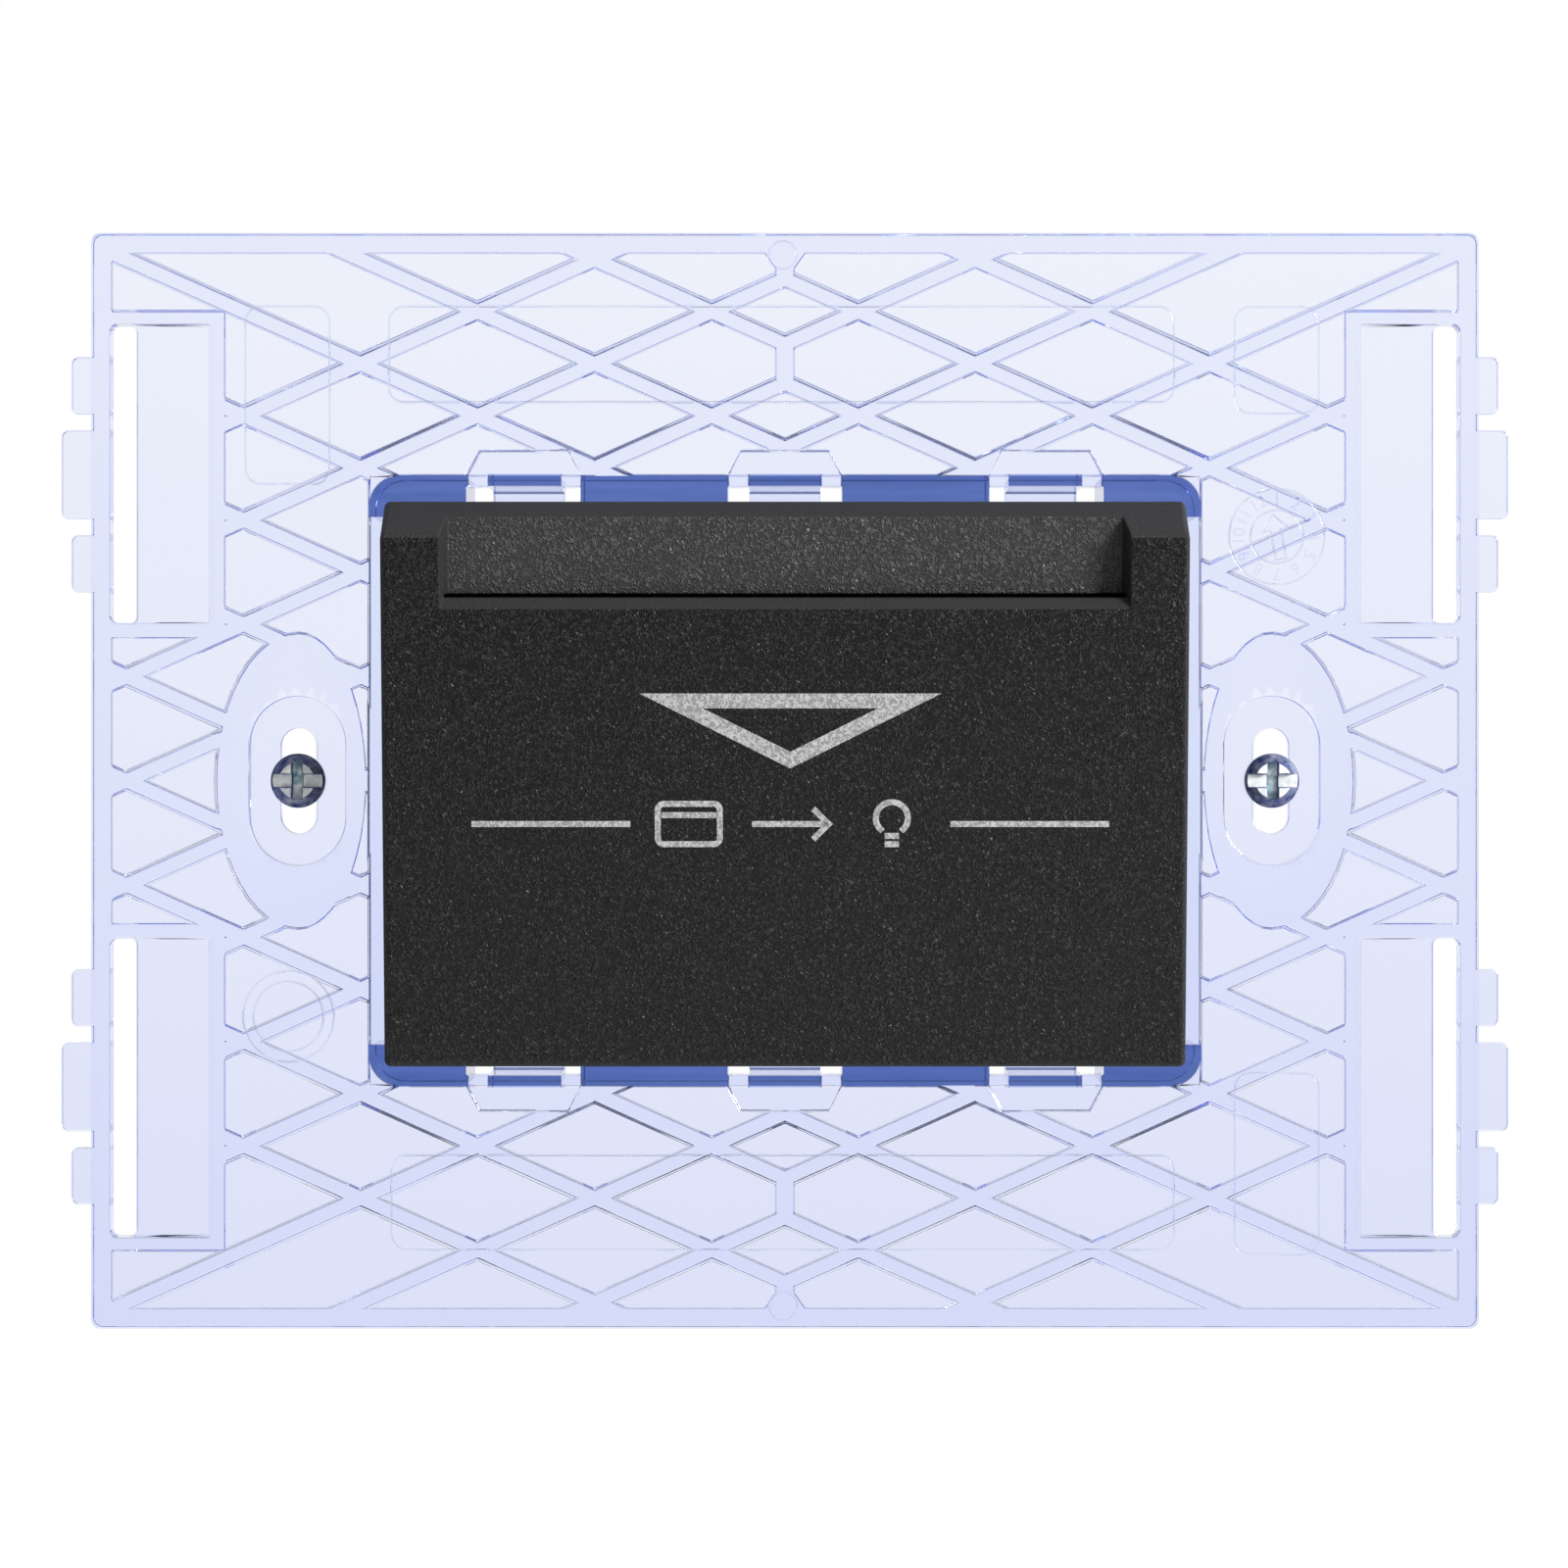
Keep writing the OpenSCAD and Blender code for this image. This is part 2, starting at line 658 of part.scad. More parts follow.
module fixing_screw() {
    head_y = seat_y - fix_head_h;
    difference() {
        union() {
            translate([0, head_y, 0]) rotate([-90, 0, 0])
                cylinder(r1 = fix_disc_r, r2 = fix_head_r, h = fix_cone_h);
            rod_y(0, 0, fix_head_r, head_y + fix_cone_h, seat_y);
            rod_y(0, 0, fix_neck_r, seat_y - over, over);
            rod_y(0, 0, fix_r, 0, seat_y + fix_shank_l);
            translate([0, seat_y + fix_shank_l, 0]) rotate([-90, 0, 0])
                cylinder(r1 = fix_r, r2 = fix_r / 3, h = fix_r);
        }
        block([-far, head_y - far, -drive_slot_w / 2], [far, head_y + drive_slot_d, drive_slot_w / 2]);
        block([-drive_cross_w / 2, head_y - far, -drive_cross_l / 2],
              [drive_cross_w / 2, head_y + drive_cross_d, drive_cross_l / 2]);
    }
}

module fixing_screws() {
    color("silver") for (s = [-1, 1]) translate([s * fix_pitch / 2, 0, 0]) fixing_screw();
}

// Side outline of the front cover, with its front edges rounded
module cover_outline() {
    low_back = [front_y, cover_z0];
    low_front = [face_y0, cover_z0];
    brow = [brow_y, brow_z];
    top_front = [brow_y + brow_depth, cover_z1];
    top_back = [front_y, cover_z1];
    polygon(concat([low_back], rounded(low_back, low_front, brow, cover_edge_r),
                   rounded(low_front, brow, top_front, 1.5 * cover_edge_r),
                   rounded(brow, top_front, top_back, cover_edge_r), [top_back]));
}

module cover_hollow() {
    low = cover_z0 + cover_wall;
    high = brow_z - cover_wall;
    polygon([[front_y + over, low], [face_y0 + (cover_wall - cover_wall * sin(tilt)) / cos(tilt), low],
             [face_y0 - (high - cover_z0) * tan(tilt) + cover_wall / cos(tilt), high],
             [brow_y + brow_depth + cover_wall, cover_z1 - cover_wall],
             [front_y + over, cover_z1 - cover_wall]]);
}

// Outline of the notch in plan, grown by a wall; its back lies at zero
module notch_plan(wall) {
    back = notch_w / 2 + wall;
    front = back + far * tan(notch_draft);
    polygon([[-back, wall], [back, wall], [front, -far], [-front, -far]]);
}

// Column of the notch from a height v along the face, leaning back from it
module notch_column(v, wall, lean) {
    on_face() translate([0, pocket_w, v]) rotate([-lean, 0, 0])
        linear_extrude(height = far) notch_plan(wall);
}

// Bevel on the slot's lip, between the notch's side walls
module lip_bevel() {
    slope = lip_bevel_h / lip_bevel_d;
    low = slot_v - lip_bevel_h - over * slope;
    high = slot_v + over * slope;
    intersection() {
        on_face() along_x(-notch_w, notch_w)
            polygon([[-over, low], [lip_bevel_d + over, high], [-over, high]]);
        notch_column(low - over, 0, 0);
    }
}

module cover_shape() {
    along_x(-cover_w / 2, cover_w / 2) cover_outline();
}

// Waste outside the rounded side edges of one face of the cover, which starts at y and z and leans by turn
module side_waste(y, z, turn, length) {
    middle = cover_w / 2 - side_edge_r;
    translate([0, y, z]) rotate([turn, 0, 0]) translate([0, 0, -over])
        linear_extrude(height = length + 2 * over) for (side = [0, 1]) mirror([side, 0]) difference() {
            translate([middle, -over]) square(side_edge_r + over);
            translate([middle, side_edge_r]) circle(r = side_edge_r);
        }
}

// Waste outside the side edges of the cover's bottom, face, brow and top
module sides_waste() {
    side_waste(front_y, cover_z0, 90, low_reach);
    side_waste(face_y0, cover_z0, tilt, norm([brow_reach - low_reach, brow_z - cover_z0]));
    side_waste(brow_y, brow_z, -atan2(brow_depth, brow_h), norm([brow_depth, brow_h]));
    side_waste(brow_y + brow_depth, cover_z1, -90, brow_reach - brow_depth);
}

module guide_screw_hole(r, w0, w1) {
    on_face() for (sx = [-1, 1], v = guide_screw_vs) rod_y(sx * guide_screw_x, v, r, w0, w1);
}

// Ring behind the cover that slips into the housing, with a hook on each side
module cover_spigot() {
    difference() {
        union() {
            along_y(front_y - flange_t, front_y)
                translate([0, -cover_drop]) square([cover_w, cover_h], center = true);
            along_y(front_y - over, front_y + spigot_l) square([spigot_w, spigot_h], center = true);
        }
        along_y(front_y - flange_t - over, front_y + spigot_l + over)
            square([spigot_w - 2 * spigot_wall, spigot_h - 2 * spigot_wall], center = true);
    }
    for (sx = [0, 1], s = [-1, 1]) mirror([sx, 0, 0])
        block([spigot_w / 2 - over, hook_y, s * hook_z - hook_l / 2],
              [spigot_w / 2 + hook_h, hook_y + hook_d, s * hook_z + hook_l / 2]);
}

module front_cover() {
    color([0.16, 0.16, 0.17]) difference() {
        union() {
            difference() {
                union() {
                    difference() {
                        cover_shape();
                        along_x(-cover_half, cover_half) cover_hollow();
                    }
                    intersection() {
                        cover_shape();
                        notch_column(slot_v + shadow_gap, cover_wall, notch_lean);
                    }
                    on_face() for (sx = [0, 1]) mirror([sx, 0, 0])
                        block([card_half, cover_wall - over, cover_wall - over / 2],
                              [cover_half + over, pocket_w, guide_top]);
                }
                notch_column(slot_v, 0, 0);
                notch_column(slot_v, 0, notch_lean);
                lip_bevel();
                guide_screw_hole(guide_screw_r + press, guide_skin, far);
            }
            cover_spigot();
        }
        sides_waste();
    }
}

module card_guide() {
    color([0.22, 0.22, 0.23]) difference() {
        on_face() {
            block([-cover_half + slip_clear, pocket_w, floor_up],
                  [cover_half - slip_clear, guide_back, guide_top]);
            block([-card_half + slip_clear, cover_wall + slip_clear, floor_up],
                  [card_half - slip_clear, pocket_w + over, floor_up + guide_t]);
            for (sx = [0, 1]) mirror([sx, 0, 0]) {
                block([ear_x, guide_back - over, pin_up - hub_r], [ear_x + ear_t, pin_w, pin_up + hub_r]);
                rod_x(pin_w, pin_up, hub_r, ear_x, ear_x + ear_t);
            }
        }
        on_face() {
            block([-nose_w / 2 - lever_clear, 0, nose_window_low],
                  [nose_w / 2 + lever_clear, far, nose_window_high]);
            rod_x(pin_w, pin_up, pin_r + press, -far, far);
        }
        guide_screw_hole(guide_screw_r + slip_clear, 0, far);
    }
}

// Small screw along Y with a cross in its head, from the shank's end at y0 to the head's seat
module cross_screw(x, z, shank_r, head_r, head_h, y0, seat) {
    difference() {
        union() {
            rod_y(x, z, shank_r, y0, seat + head_h / 2);
            rod_y(x, z, head_r, seat, seat + head_h);
        }
        for (turn = [0, 90]) translate([x, seat + head_h, z]) rotate([0, turn, 0])
            cube([1.4 * head_r, head_h, 0.3 * head_r], center = true);
    }
}

module guide_screws() {
    color("silver") on_face() for (sx = [-1, 1], v = guide_screw_vs)
        cross_screw(sx * guide_screw_x, v, guide_screw_r, guide_head_r, guide_head_h,
                    guide_skin + slip_clear, guide_back);
}

module lever_nose_outline() {
    back = arm_w0 + arm_t / 2;
    polygon([[back, nose_high], [guide_back, nose_high], [nose_tip, nose_up + nose_flat],
             [nose_tip, nose_up - nose_flat], [pocket_w, nose_low], [back, nose_low]]);
}

module card_lever() {
    color([0.92, 0.92, 0.9]) difference() {
        union() {
            on_face() {
                rod_x(pin_w, pin_up, hub_r, -hub_l / 2, hub_l / 2);
                block([-arm_w / 2, arm_w0, arm_foot], [arm_w / 2, arm_w0 + arm_t, pin_up]);
                along_x(-nose_w / 2, nose_w / 2) lever_nose_outline();
                block([-shoulder_w / 2, guide_back + lever_clear, nose_low + shoulder_in],
                      [shoulder_w / 2, arm_w0 + arm_t, nose_high - shoulder_in]);
            }
            block([-pad_size / 2, pin_y - over, plunger_z - pad_size / 2],
                  [pad_size / 2, pad_y, plunger_z + pad_size / 2]);
            rod_y(0, spring_z, spring_seat_r, pin_y, spring_seat_y);
            rod_y(0, spring_z, pilot_r, pin_y, spring_seat_y + pilot_l);
        }
        on_face() rod_x(pin_w, pin_up, pin_r + pin_clear, -far, far);
    }
}

module lever_pin() {
    color("silver") on_face() rod_x(pin_w, pin_up, pin_r, -pin_half, pin_half);
}

// Closed tube that winds along Y between y0 and y1
module coil(y0, y1, coil_r, wire_r, turns, rings = 12, sides = 6) {
    count = turns * rings;
    rise = (y1 - y0 - 2 * wire_r) / count;
    points = [for (i = [0:count], k = [0:sides - 1])
        let (turn = 360 * i / rings, around = 360 * k / sides, r = coil_r + wire_r * cos(around))
        [r * cos(turn), y0 + wire_r + i * rise + wire_r * sin(around), r * sin(turn)]];
    walls = [for (i = [0:count - 1], k = [0:sides - 1])
        let (a = i * sides + k, b = i * sides + (k + 1) % sides)
        each [[a, b, b + sides], [a, b + sides, a + sides]]];
    first_cap = [for (k = [1:sides - 2]) [0, k + 1, k]];
    last = count * sides;
    last_cap = [for (k = [1:sides - 2]) [last, last + k, last + k + 1]];
    polyhedron(points, concat(walls, first_cap, last_cap));
}

module return_spring() {
    color("silver") translate([0, 0, spring_z])
        coil(spring_seat_y + touch, case_y0 - touch, spring_r, spring_wire_r, spring_turns);
}

// Opening for the strip of a terminal
module strip_slot(x, clear, y0, y1) {
    block([x - strip_t / 2 - clear, y0, plunger_z - strip_w / 2 - clear],
          [x + strip_t / 2 + clear, y1, plunger_z + strip_w / 2 + clear]);
}

// Latch on the housing that snaps behind a clip lug, from the side
module latch_outline() {
    top = body_h / 2 + latch_h;
    low = body_h / 2 - over;
    polygon([[latch_y, low], [latch_y + latch_l, low], [latch_y + latch_l, top],
             [latch_y + latch_l / 2, top], [latch_y, body_h / 2]]);
}

module housing_shell() {
    difference() {
        union() {
            along_y(front_y, wall_y1) square([body_w, body_h], center = true);
            block([-term_w / 2, wall_y1 - over, term_z0], [term_w / 2, term_y1, term_z1]);
            at_each_clip() along_x(-lug_w / 2 + latch_side, lug_w / 2 - latch_side) latch_outline();
        }
        along_y(front_y - over, wall_y0)
            square([body_w - 2 * body_wall, body_h - 2 * body_wall], center = true);
        block([-term_w / 2 + body_wall, wall_y1, term_z0 + body_wall],
              [term_w / 2 - body_wall, term_y1 + over, term_z1 - body_wall]);
        for (x = terminal_xs) {
            strip_slot(x, slip_clear, wall_y0 - over, wall_y1 + over);
            rod_z(x, clamp_screw_y, driver_r, plunger_z, term_z1 + over);
        }
        for (sx = [0, 1], s = [-1, 1]) mirror([sx, 0, 0])
            block([spigot_w / 2, hook_y - slip_clear, s * hook_z - hook_l / 2 - slip_clear],
                  [body_w / 2 + over, hook_y + hook_d + slip_clear, s * hook_z + hook_l / 2 + slip_clear]);
    }
}

module rear_housing() {
    color([0.9, 0.9, 0.88]) difference() {
        union() {
            housing_shell();
            block([-shelf_l / 2, case_y0, case_z0 - shelf_t], [shelf_l / 2, wall_y0 + over, case_z0]);
            block([-shelf_l / 4, case_y0, lip_drop], [shelf_l / 4, case_y0 + lip_t, case_z0 - shelf_t / 2]);
            for (s = [-1, 1]) {
                rod_z(s * peg_x, peg_y, peg_r, case_z0 - shelf_t / 2, case_z1 + peg_end);
                rod_y(s * lid_boss_x, plunger_z, lid_boss_r, wall_y1 - over, term_y1);
            }
            for (s = [-1, 1]) translate([terminal_mid_x + s * clamp_pitch / 2, 0, 0])
                block([-divider_t / 2, wall_y1 - over, term_z0 + over],
                      [divider_t / 2, clamp_y1, plunger_z + clamp_h / 2]);
        }
        for (s = [-1, 1])
            rod_y(s * lid_boss_x, plunger_z, lid_screw_r + press, term_y1 - lid_hole_l, term_y1 + over);
    }
}

// Rectangle of the switch case, smaller all round by an inset
module switch_rectangle(inset) {
    translate([0, (case_y0 + case_y1) / 2])
        square([switch_l - 2 * inset, switch_d - 2 * inset], center = true);
}

// Outline of the switch case and its lid, with a wall round each fixing hole
module switch_outline() {
    switch_rectangle(0);
    for (s = [-1, 1]) translate([s * peg_x, peg_y]) circle(r = peg_r + peg_wall);
}

module peg_holes() {
    for (s = [-1, 1]) rod_z(s * peg_x, peg_y, peg_r + peg_clear, case_z0 - over, case_z1 + over);
}

module switch_case() {
    color([0.15, 0.15, 0.16]) difference() {
        translate([0, 0, case_z0]) linear_extrude(height = switch_t - switch_wall) switch_outline();
        difference() {
            translate([0, 0, case_z0 + switch_wall])
                linear_extrude(height = switch_t) switch_rectangle(switch_wall);
            for (s = [0, 1]) mirror([s, 0, 0])
                block([corner_x, case_y0, case_z0], [switch_l, corner_y, case_z1]);
        }
        peg_holes();
        rod_y(0, plunger_z, plunger_r + pin_clear, case_y0 - over, case_y0 + switch_wall + over);
        for (x = terminal_xs) strip_slot(x, touch, case_y1 - switch_wall - over, case_y1 + over);
    }
}

module switch_lid() {
    color([0.2, 0.2, 0.21]) difference() {
        translate([0, 0, lid_z]) linear_extrude(height = switch_wall) switch_outline();
        peg_holes();
    }
}

module switch_plunger() {
    flange_y = case_y0 + switch_wall + lever_clear / 2;
    color([0.8, 0.2, 0.15]) {
        rod_y(0, plunger_z, plunger_r, plunger_y, flange_y + over);
        rod_y(0, plunger_z, plunger_flange_r, flange_y, flange_y + plunger_flange_h);
        rod_y(0, plunger_z, plunger_stem_r, flange_y, blade_y - plunger_gap);
    }
}

// Blade with a rolled eye, open at its back, that turns on the bead of the common terminal
module contact_blade() {
    color("goldenrod") difference() {
        union() {
            block([eye_x + eye_r - eye_wall / 2, blade_y, plunger_z - blade_w / 2],
                  [contact_x + contact_r + blade_tip, blade_y + blade_t, plunger_z + blade_w / 2]);
            rod_z(eye_x, blade_mid, eye_r, plunger_z - blade_w / 2, plunger_z + blade_w / 2);
        }
        rod_z(eye_x, blade_mid, bead_r + pin_clear, case_z0, case_z1);
        block([eye_x - neck_t / 2 - lever_clear, blade_mid, case_z0],
              [eye_x + neck_t / 2 + lever_clear, case_y1, case_z1]);
        rod_y(contact_x, plunger_z, rivet_shank_r + press, blade_y - over, blade_y + blade_t + over);
    }
}

module moving_contact() {
    color("lightgray") {
        rod_y(contact_x, plunger_z, rivet_shank_r, blade_y - over / 2, blade_y + blade_t + over / 2);
        rod_y(contact_x, plunger_z, contact_r, blade_y - contact_h, blade_y);
        rod_y(contact_x, plunger_z, contact_r, blade_y + blade_t, blade_y + blade_t + contact_h);
    }
}

module strip(x, y0) {
    strip_slot(x, 0, y0, strip_end);
}

module common_terminal() {
    color("peru") {
        rod_z(eye_x, blade_mid, bead_r, plunger_z - strip_w / 2, plunger_z + strip_w / 2);
        block([eye_x - neck_t / 2, blade_mid, plunger_z - strip_w / 2],
              [eye_x + neck_t / 2, blade_mid + 2 * eye_r + over, plunger_z + strip_w / 2]);
        strip(eye_x, blade_mid + 2 * eye_r);
    }
}

// Strip across the case that carries a fixed contact, with a hole for the contact's shank
module contact_arm(x0, x1, y0) {
    difference() {
        block([x0, y0, plunger_z - strip_w / 2], [x1, y0 + strip_t, plunger_z + strip_w / 2]);
        rod_y(contact_x, plunger_z, rivet_shank_r + press, y0 - over, y0 + strip_t + over);
    }
}

module make_terminal() {
    color("peru") {
        contact_arm(terminal_xs[1] - strip_t / 2, contact_x + contact_r, make_face_y + contact_h);
        strip(terminal_xs[1], make_face_y + contact_h);
    }
}

module break_terminal() {
    arm_y = break_face_y - contact_h - strip_t;
    color("peru") {
        contact_arm(contact_x - contact_r, terminal_xs[2] + strip_t / 2, arm_y);
        strip(terminal_xs[2], arm_y);
    }
}

module make_contact() {
    color("lightgray") {
        rod_y(contact_x, plunger_z, contact_r, make_face_y, make_face_y + contact_h);
        rod_y(contact_x, plunger_z, rivet_shank_r, make_face_y, make_face_y + contact_h + strip_t);
    }
}

module break_contact() {
    color("lightgray") {
        rod_y(contact_x, plunger_z, contact_r, break_face_y - contact_h, break_face_y);
        rod_y(contact_x, plunger_z, rivet_shank_r, break_face_y - contact_h - strip_t, break_face_y);
    }
}

module peg_washers() {
    color("silver") for (s = [-1, 1]) difference() {
        rod_z(s * peg_x, peg_y, peg_r + washer_w, case_z1, case_z1 + washer_t);
        rod_z(s * peg_x, peg_y, peg_r + press, case_z1 - over, case_z1 + washer_t + over);
    }
}

module wire_clamps() {
    color("gold") for (x = terminal_xs) difference() {
        block([x - clamp_w / 2, clamp_y0, plunger_z - clamp_h / 2],
              [x + clamp_w / 2, clamp_y1, plunger_z + clamp_h / 2]);
        strip_slot(x, touch, clamp_y0 - over, strip_end + slip_clear);
        rod_y(x, plunger_z, wire_r, strip_end, clamp_y1 + over);
        rod_z(x, clamp_screw_y, clamp_screw_r + press, plunger_z, plunger_z + clamp_h);
    }
}

module clamp_screws() {
    head_z = plunger_z + clamp_h / 2 + clamp_head_up;
    color("silver") for (x = terminal_xs) difference() {
        union() {
            rod_z(x, clamp_screw_y, clamp_screw_r, plunger_z + wire_r, head_z + over);
            rod_z(x, clamp_screw_y, clamp_head_r, head_z, head_z + clamp_head_h);
        }
        translate([x, clamp_screw_y, head_z + clamp_head_h])
            cube([far, 0.35 * clamp_head_r, clamp_head_h], center = true);
    }
}

// Hole through the rear cover
module rear_hole(x, r) {
    rod_y(x, plunger_z, r + slip_clear, term_y1 - over, term_y1 + lid_t + over);
}

module rear_cover() {
    lip_top = term_h / 2 - body_wall - slip_clear;
    lip_x = lid_boss_x - lid_boss_r - lid_lip;
    color([0.9, 0.9, 0.88]) difference() {
        union() {
            block([-term_w / 2, term_y1, term_z0], [term_w / 2, term_y1 + lid_t, term_z1]);
            for (flip = [0, 1]) translate([0, 0, plunger_z]) mirror([0, 0, flip])
                block([-lip_x, term_y1 - lid_lip, lip_top - lid_lip], [lip_x, term_y1 + over, lip_top]);
        }
        for (x = terminal_xs) rear_hole(x, wire_r);
        for (s = [-1, 1]) rear_hole(s * lid_boss_x, lid_screw_r);
    }
}

module rear_screws() {
    color("silver") for (s = [-1, 1])
        cross_screw(s * lid_boss_x, plunger_z, lid_screw_r, lid_head_r, lid_head_h,
                    term_y1 - lid_hole_l + over, term_y1 + lid_t);
}

support_frame();
fixing_screws();
front_cover();
card_guide();
guide_screws();
card_lever();
lever_pin();
return_spring();
rear_housing();
switch_case();
switch_lid();
switch_plunger();
contact_blade();
moving_contact();
common_terminal();
make_terminal();
break_terminal();
make_contact();
break_contact();
peg_washers();
wire_clamps();
clamp_screws();
rear_cover();
rear_screws();
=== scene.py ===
import math
import bmesh
import bpy
from mathutils import Matrix, Vector


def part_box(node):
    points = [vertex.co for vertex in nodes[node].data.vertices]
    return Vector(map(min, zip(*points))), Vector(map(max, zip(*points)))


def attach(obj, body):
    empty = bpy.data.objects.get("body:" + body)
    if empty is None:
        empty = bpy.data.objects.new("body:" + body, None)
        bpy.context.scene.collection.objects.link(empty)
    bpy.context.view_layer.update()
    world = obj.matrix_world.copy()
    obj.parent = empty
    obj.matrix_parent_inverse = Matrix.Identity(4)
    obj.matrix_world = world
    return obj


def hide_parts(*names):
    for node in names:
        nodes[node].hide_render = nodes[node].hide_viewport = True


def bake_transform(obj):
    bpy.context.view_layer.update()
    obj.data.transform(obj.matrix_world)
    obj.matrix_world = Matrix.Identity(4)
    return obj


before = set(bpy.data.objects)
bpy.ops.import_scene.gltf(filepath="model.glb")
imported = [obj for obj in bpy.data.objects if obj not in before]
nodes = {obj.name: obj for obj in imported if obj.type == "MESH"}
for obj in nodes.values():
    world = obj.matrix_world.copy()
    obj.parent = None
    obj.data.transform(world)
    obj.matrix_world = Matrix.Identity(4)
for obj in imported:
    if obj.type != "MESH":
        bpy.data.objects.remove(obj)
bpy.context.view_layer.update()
mm = 0.001
print("frame loaded:", len(nodes), "nodes")


# node helpers: a number or colour is set on its socket, another node's output is linked to it

def addNode(tree, kind, **values):
    node = tree.nodes.new(kind)
    for key, value in values.items():
        setattr(node, key, value)
    return node


def feed(tree, socket, value):
    if isinstance(value, bpy.types.NodeSocket):
        tree.links.new(value, socket)
    elif isinstance(value, tuple):
        socket.default_value = (*value, 1)  # colours are written without alpha
    else:
        socket.default_value = value


def mathNode(tree, operation, first, second=0.0):
    node = addNode(tree, "ShaderNodeMath", operation=operation)
    feed(tree, node.inputs[0], first)
    feed(tree, node.inputs[1], second)
    return node.outputs[0]


def mixNode(tree, kind, mask, first, second):
    mix = addNode(tree, "ShaderNodeMix", data_type=kind)
    feed(tree, mix.inputs["Factor"], mask)
    feed(tree, mix.inputs["A"], first)
    feed(tree, mix.inputs["B"], second)
    return mix.outputs["Result"]


def rangeNode(tree, value, fromMin, fromMax, toMin=0.0, toMax=1.0, curve="LINEAR"):
    spread = addNode(tree, "ShaderNodeMapRange", interpolation_type=curve)
    labels = ("Value", "From Min", "From Max", "To Min", "To Max")
    for label, given in zip(labels, (value, fromMin, fromMax, toMin, toMax)):
        feed(tree, spread.inputs[label], given)
    return spread.outputs["Result"]


def noiseNode(tree, place, detail, distortion=0.0):
    noise = tree.nodes.new("ShaderNodeTexNoise")
    noise.inputs["Scale"].default_value = 1.0
    noise.inputs["Detail"].default_value = detail
    noise.inputs["Distortion"].default_value = distortion
    tree.links.new(place, noise.inputs["Vector"])
    return noise.outputs["Fac"]


def dotNode(tree, vector, direction):
    dot = addNode(tree, "ShaderNodeVectorMath", operation="DOT_PRODUCT")
    tree.links.new(vector, dot.inputs[0])
    dot.inputs[1].default_value = direction
    return dot.outputs["Value"]


def splitVector(tree, vector):
    sides = tree.nodes.new("ShaderNodeSeparateXYZ")
    tree.links.new(vector, sides.inputs[0])
    return sides.outputs


def objectPlace(tree):
    return tree.nodes.new("ShaderNodeTexCoord").outputs["Object"]


def trueNormal(tree):
    return tree.nodes.new("ShaderNodeNewGeometry").outputs["True Normal"]


# material helpers

def startMaterial(name):
    material = bpy.data.materials.new(name)
    material.use_nodes = True
    tree = material.node_tree
    shader = tree.nodes["Principled BSDF"]
    return material, tree, shader


def placeGroup(tree, group, **values):
    node = tree.nodes.new("ShaderNodeGroup")
    node.node_tree = group
    for key, value in values.items():
        node.inputs[key].default_value = value
    return node.outputs


def bumpInto(tree, shader, height, look):
    bump = tree.nodes.new("ShaderNodeBump")
    bump.inputs["Strength"].default_value = look["strength"]
    bump.inputs["Distance"].default_value = look["depth"]
    tree.links.new(height, bump.inputs["Height"])
    tree.links.new(bump.outputs["Normal"], shader.inputs["Normal"])


# shared effects: worm grain with specks, soft haze, and lines drawn out along x

grainSettings = {"detail": 1.0, "distortion": 0.7, "wormMiddle": 0.5, "wormHalf": 0.12,
                 "speckCells": 0.7, "speckRadius": 0.2}
spreadSettings = {"hazeDetail": 3.0, "lineDetail": 4.0, "noiseLow": 0.3, "noiseHigh": 0.7}


def startGroup(name, inputs, outputs):
    group = bpy.data.node_groups.new(name, "ShaderNodeTree")
    for label, value in inputs.items():
        socket = group.interface.new_socket(label, in_out="INPUT", socket_type="NodeSocketFloat")
        socket.default_value = value
    for label in outputs:
        group.interface.new_socket(label, in_out="OUTPUT", socket_type="NodeSocketFloat")
    return group, group.nodes.new("NodeGroupInput").outputs, group.nodes.new("NodeGroupOutput").inputs


def scaledPlace(tree, scale):
    grow = addNode(tree, "ShaderNodeVectorMath", operation="SCALE")
    tree.links.new(objectPlace(tree), grow.inputs[0])
    tree.links.new(scale, grow.inputs["Scale"])
    return grow.outputs[0]


def spreadHeight(group, given, result, height):
    look = spreadSettings
    value = rangeNode(group, height, look["noiseLow"], look["noiseHigh"], given["Low"], given["High"])
    group.links.new(value, result["Value"])
    group.links.new(height, result["Height"])


def makeGrainGroup():
    inputs = {"Scale": 3000.0, "Specks": 0.05}
    group, given, result = startGroup("sparkGrain", inputs, ("Height", "Speck"))
    look = grainSettings
    place = scaledPlace(group, given["Scale"])
    worms = noiseNode(group, place, look["detail"], look["distortion"])
    offMiddle = mathNode(group, "ABSOLUTE", mathNode(group, "SUBTRACT", worms, look["wormMiddle"]))
    crest = rangeNode(group, offMiddle, 0.0, look["wormHalf"], 1.0, 0.0, "SMOOTHSTEP")
    cells = addNode(group, "ShaderNodeTexVoronoi", feature="F1")
    cells.inputs["Scale"].default_value = look["speckCells"]
    group.links.new(place, cells.inputs["Vector"])
    tone = addNode(group, "ShaderNodeSeparateColor")
    group.links.new(cells.outputs["Color"], tone.inputs["Color"])
    chosen = mathNode(group, "LESS_THAN", tone.outputs["Red"], given["Specks"])
    near = mathNode(group, "LESS_THAN", cells.outputs["Distance"], look["speckRadius"])
    group.links.new(crest, result["Height"])
    group.links.new(mathNode(group, "MULTIPLY", chosen, near), result["Speck"])
    return group


def makeHazeGroup():
    inputs = {"Scale": 60.0, "Low": 0.0, "High": 1.0}
    group, given, result = startGroup("mouldHaze", inputs, ("Value", "Height"))
    place = scaledPlace(group, given["Scale"])
    spreadHeight(group, given, result, noiseNode(group, place, spreadSettings["hazeDetail"]))
    return group


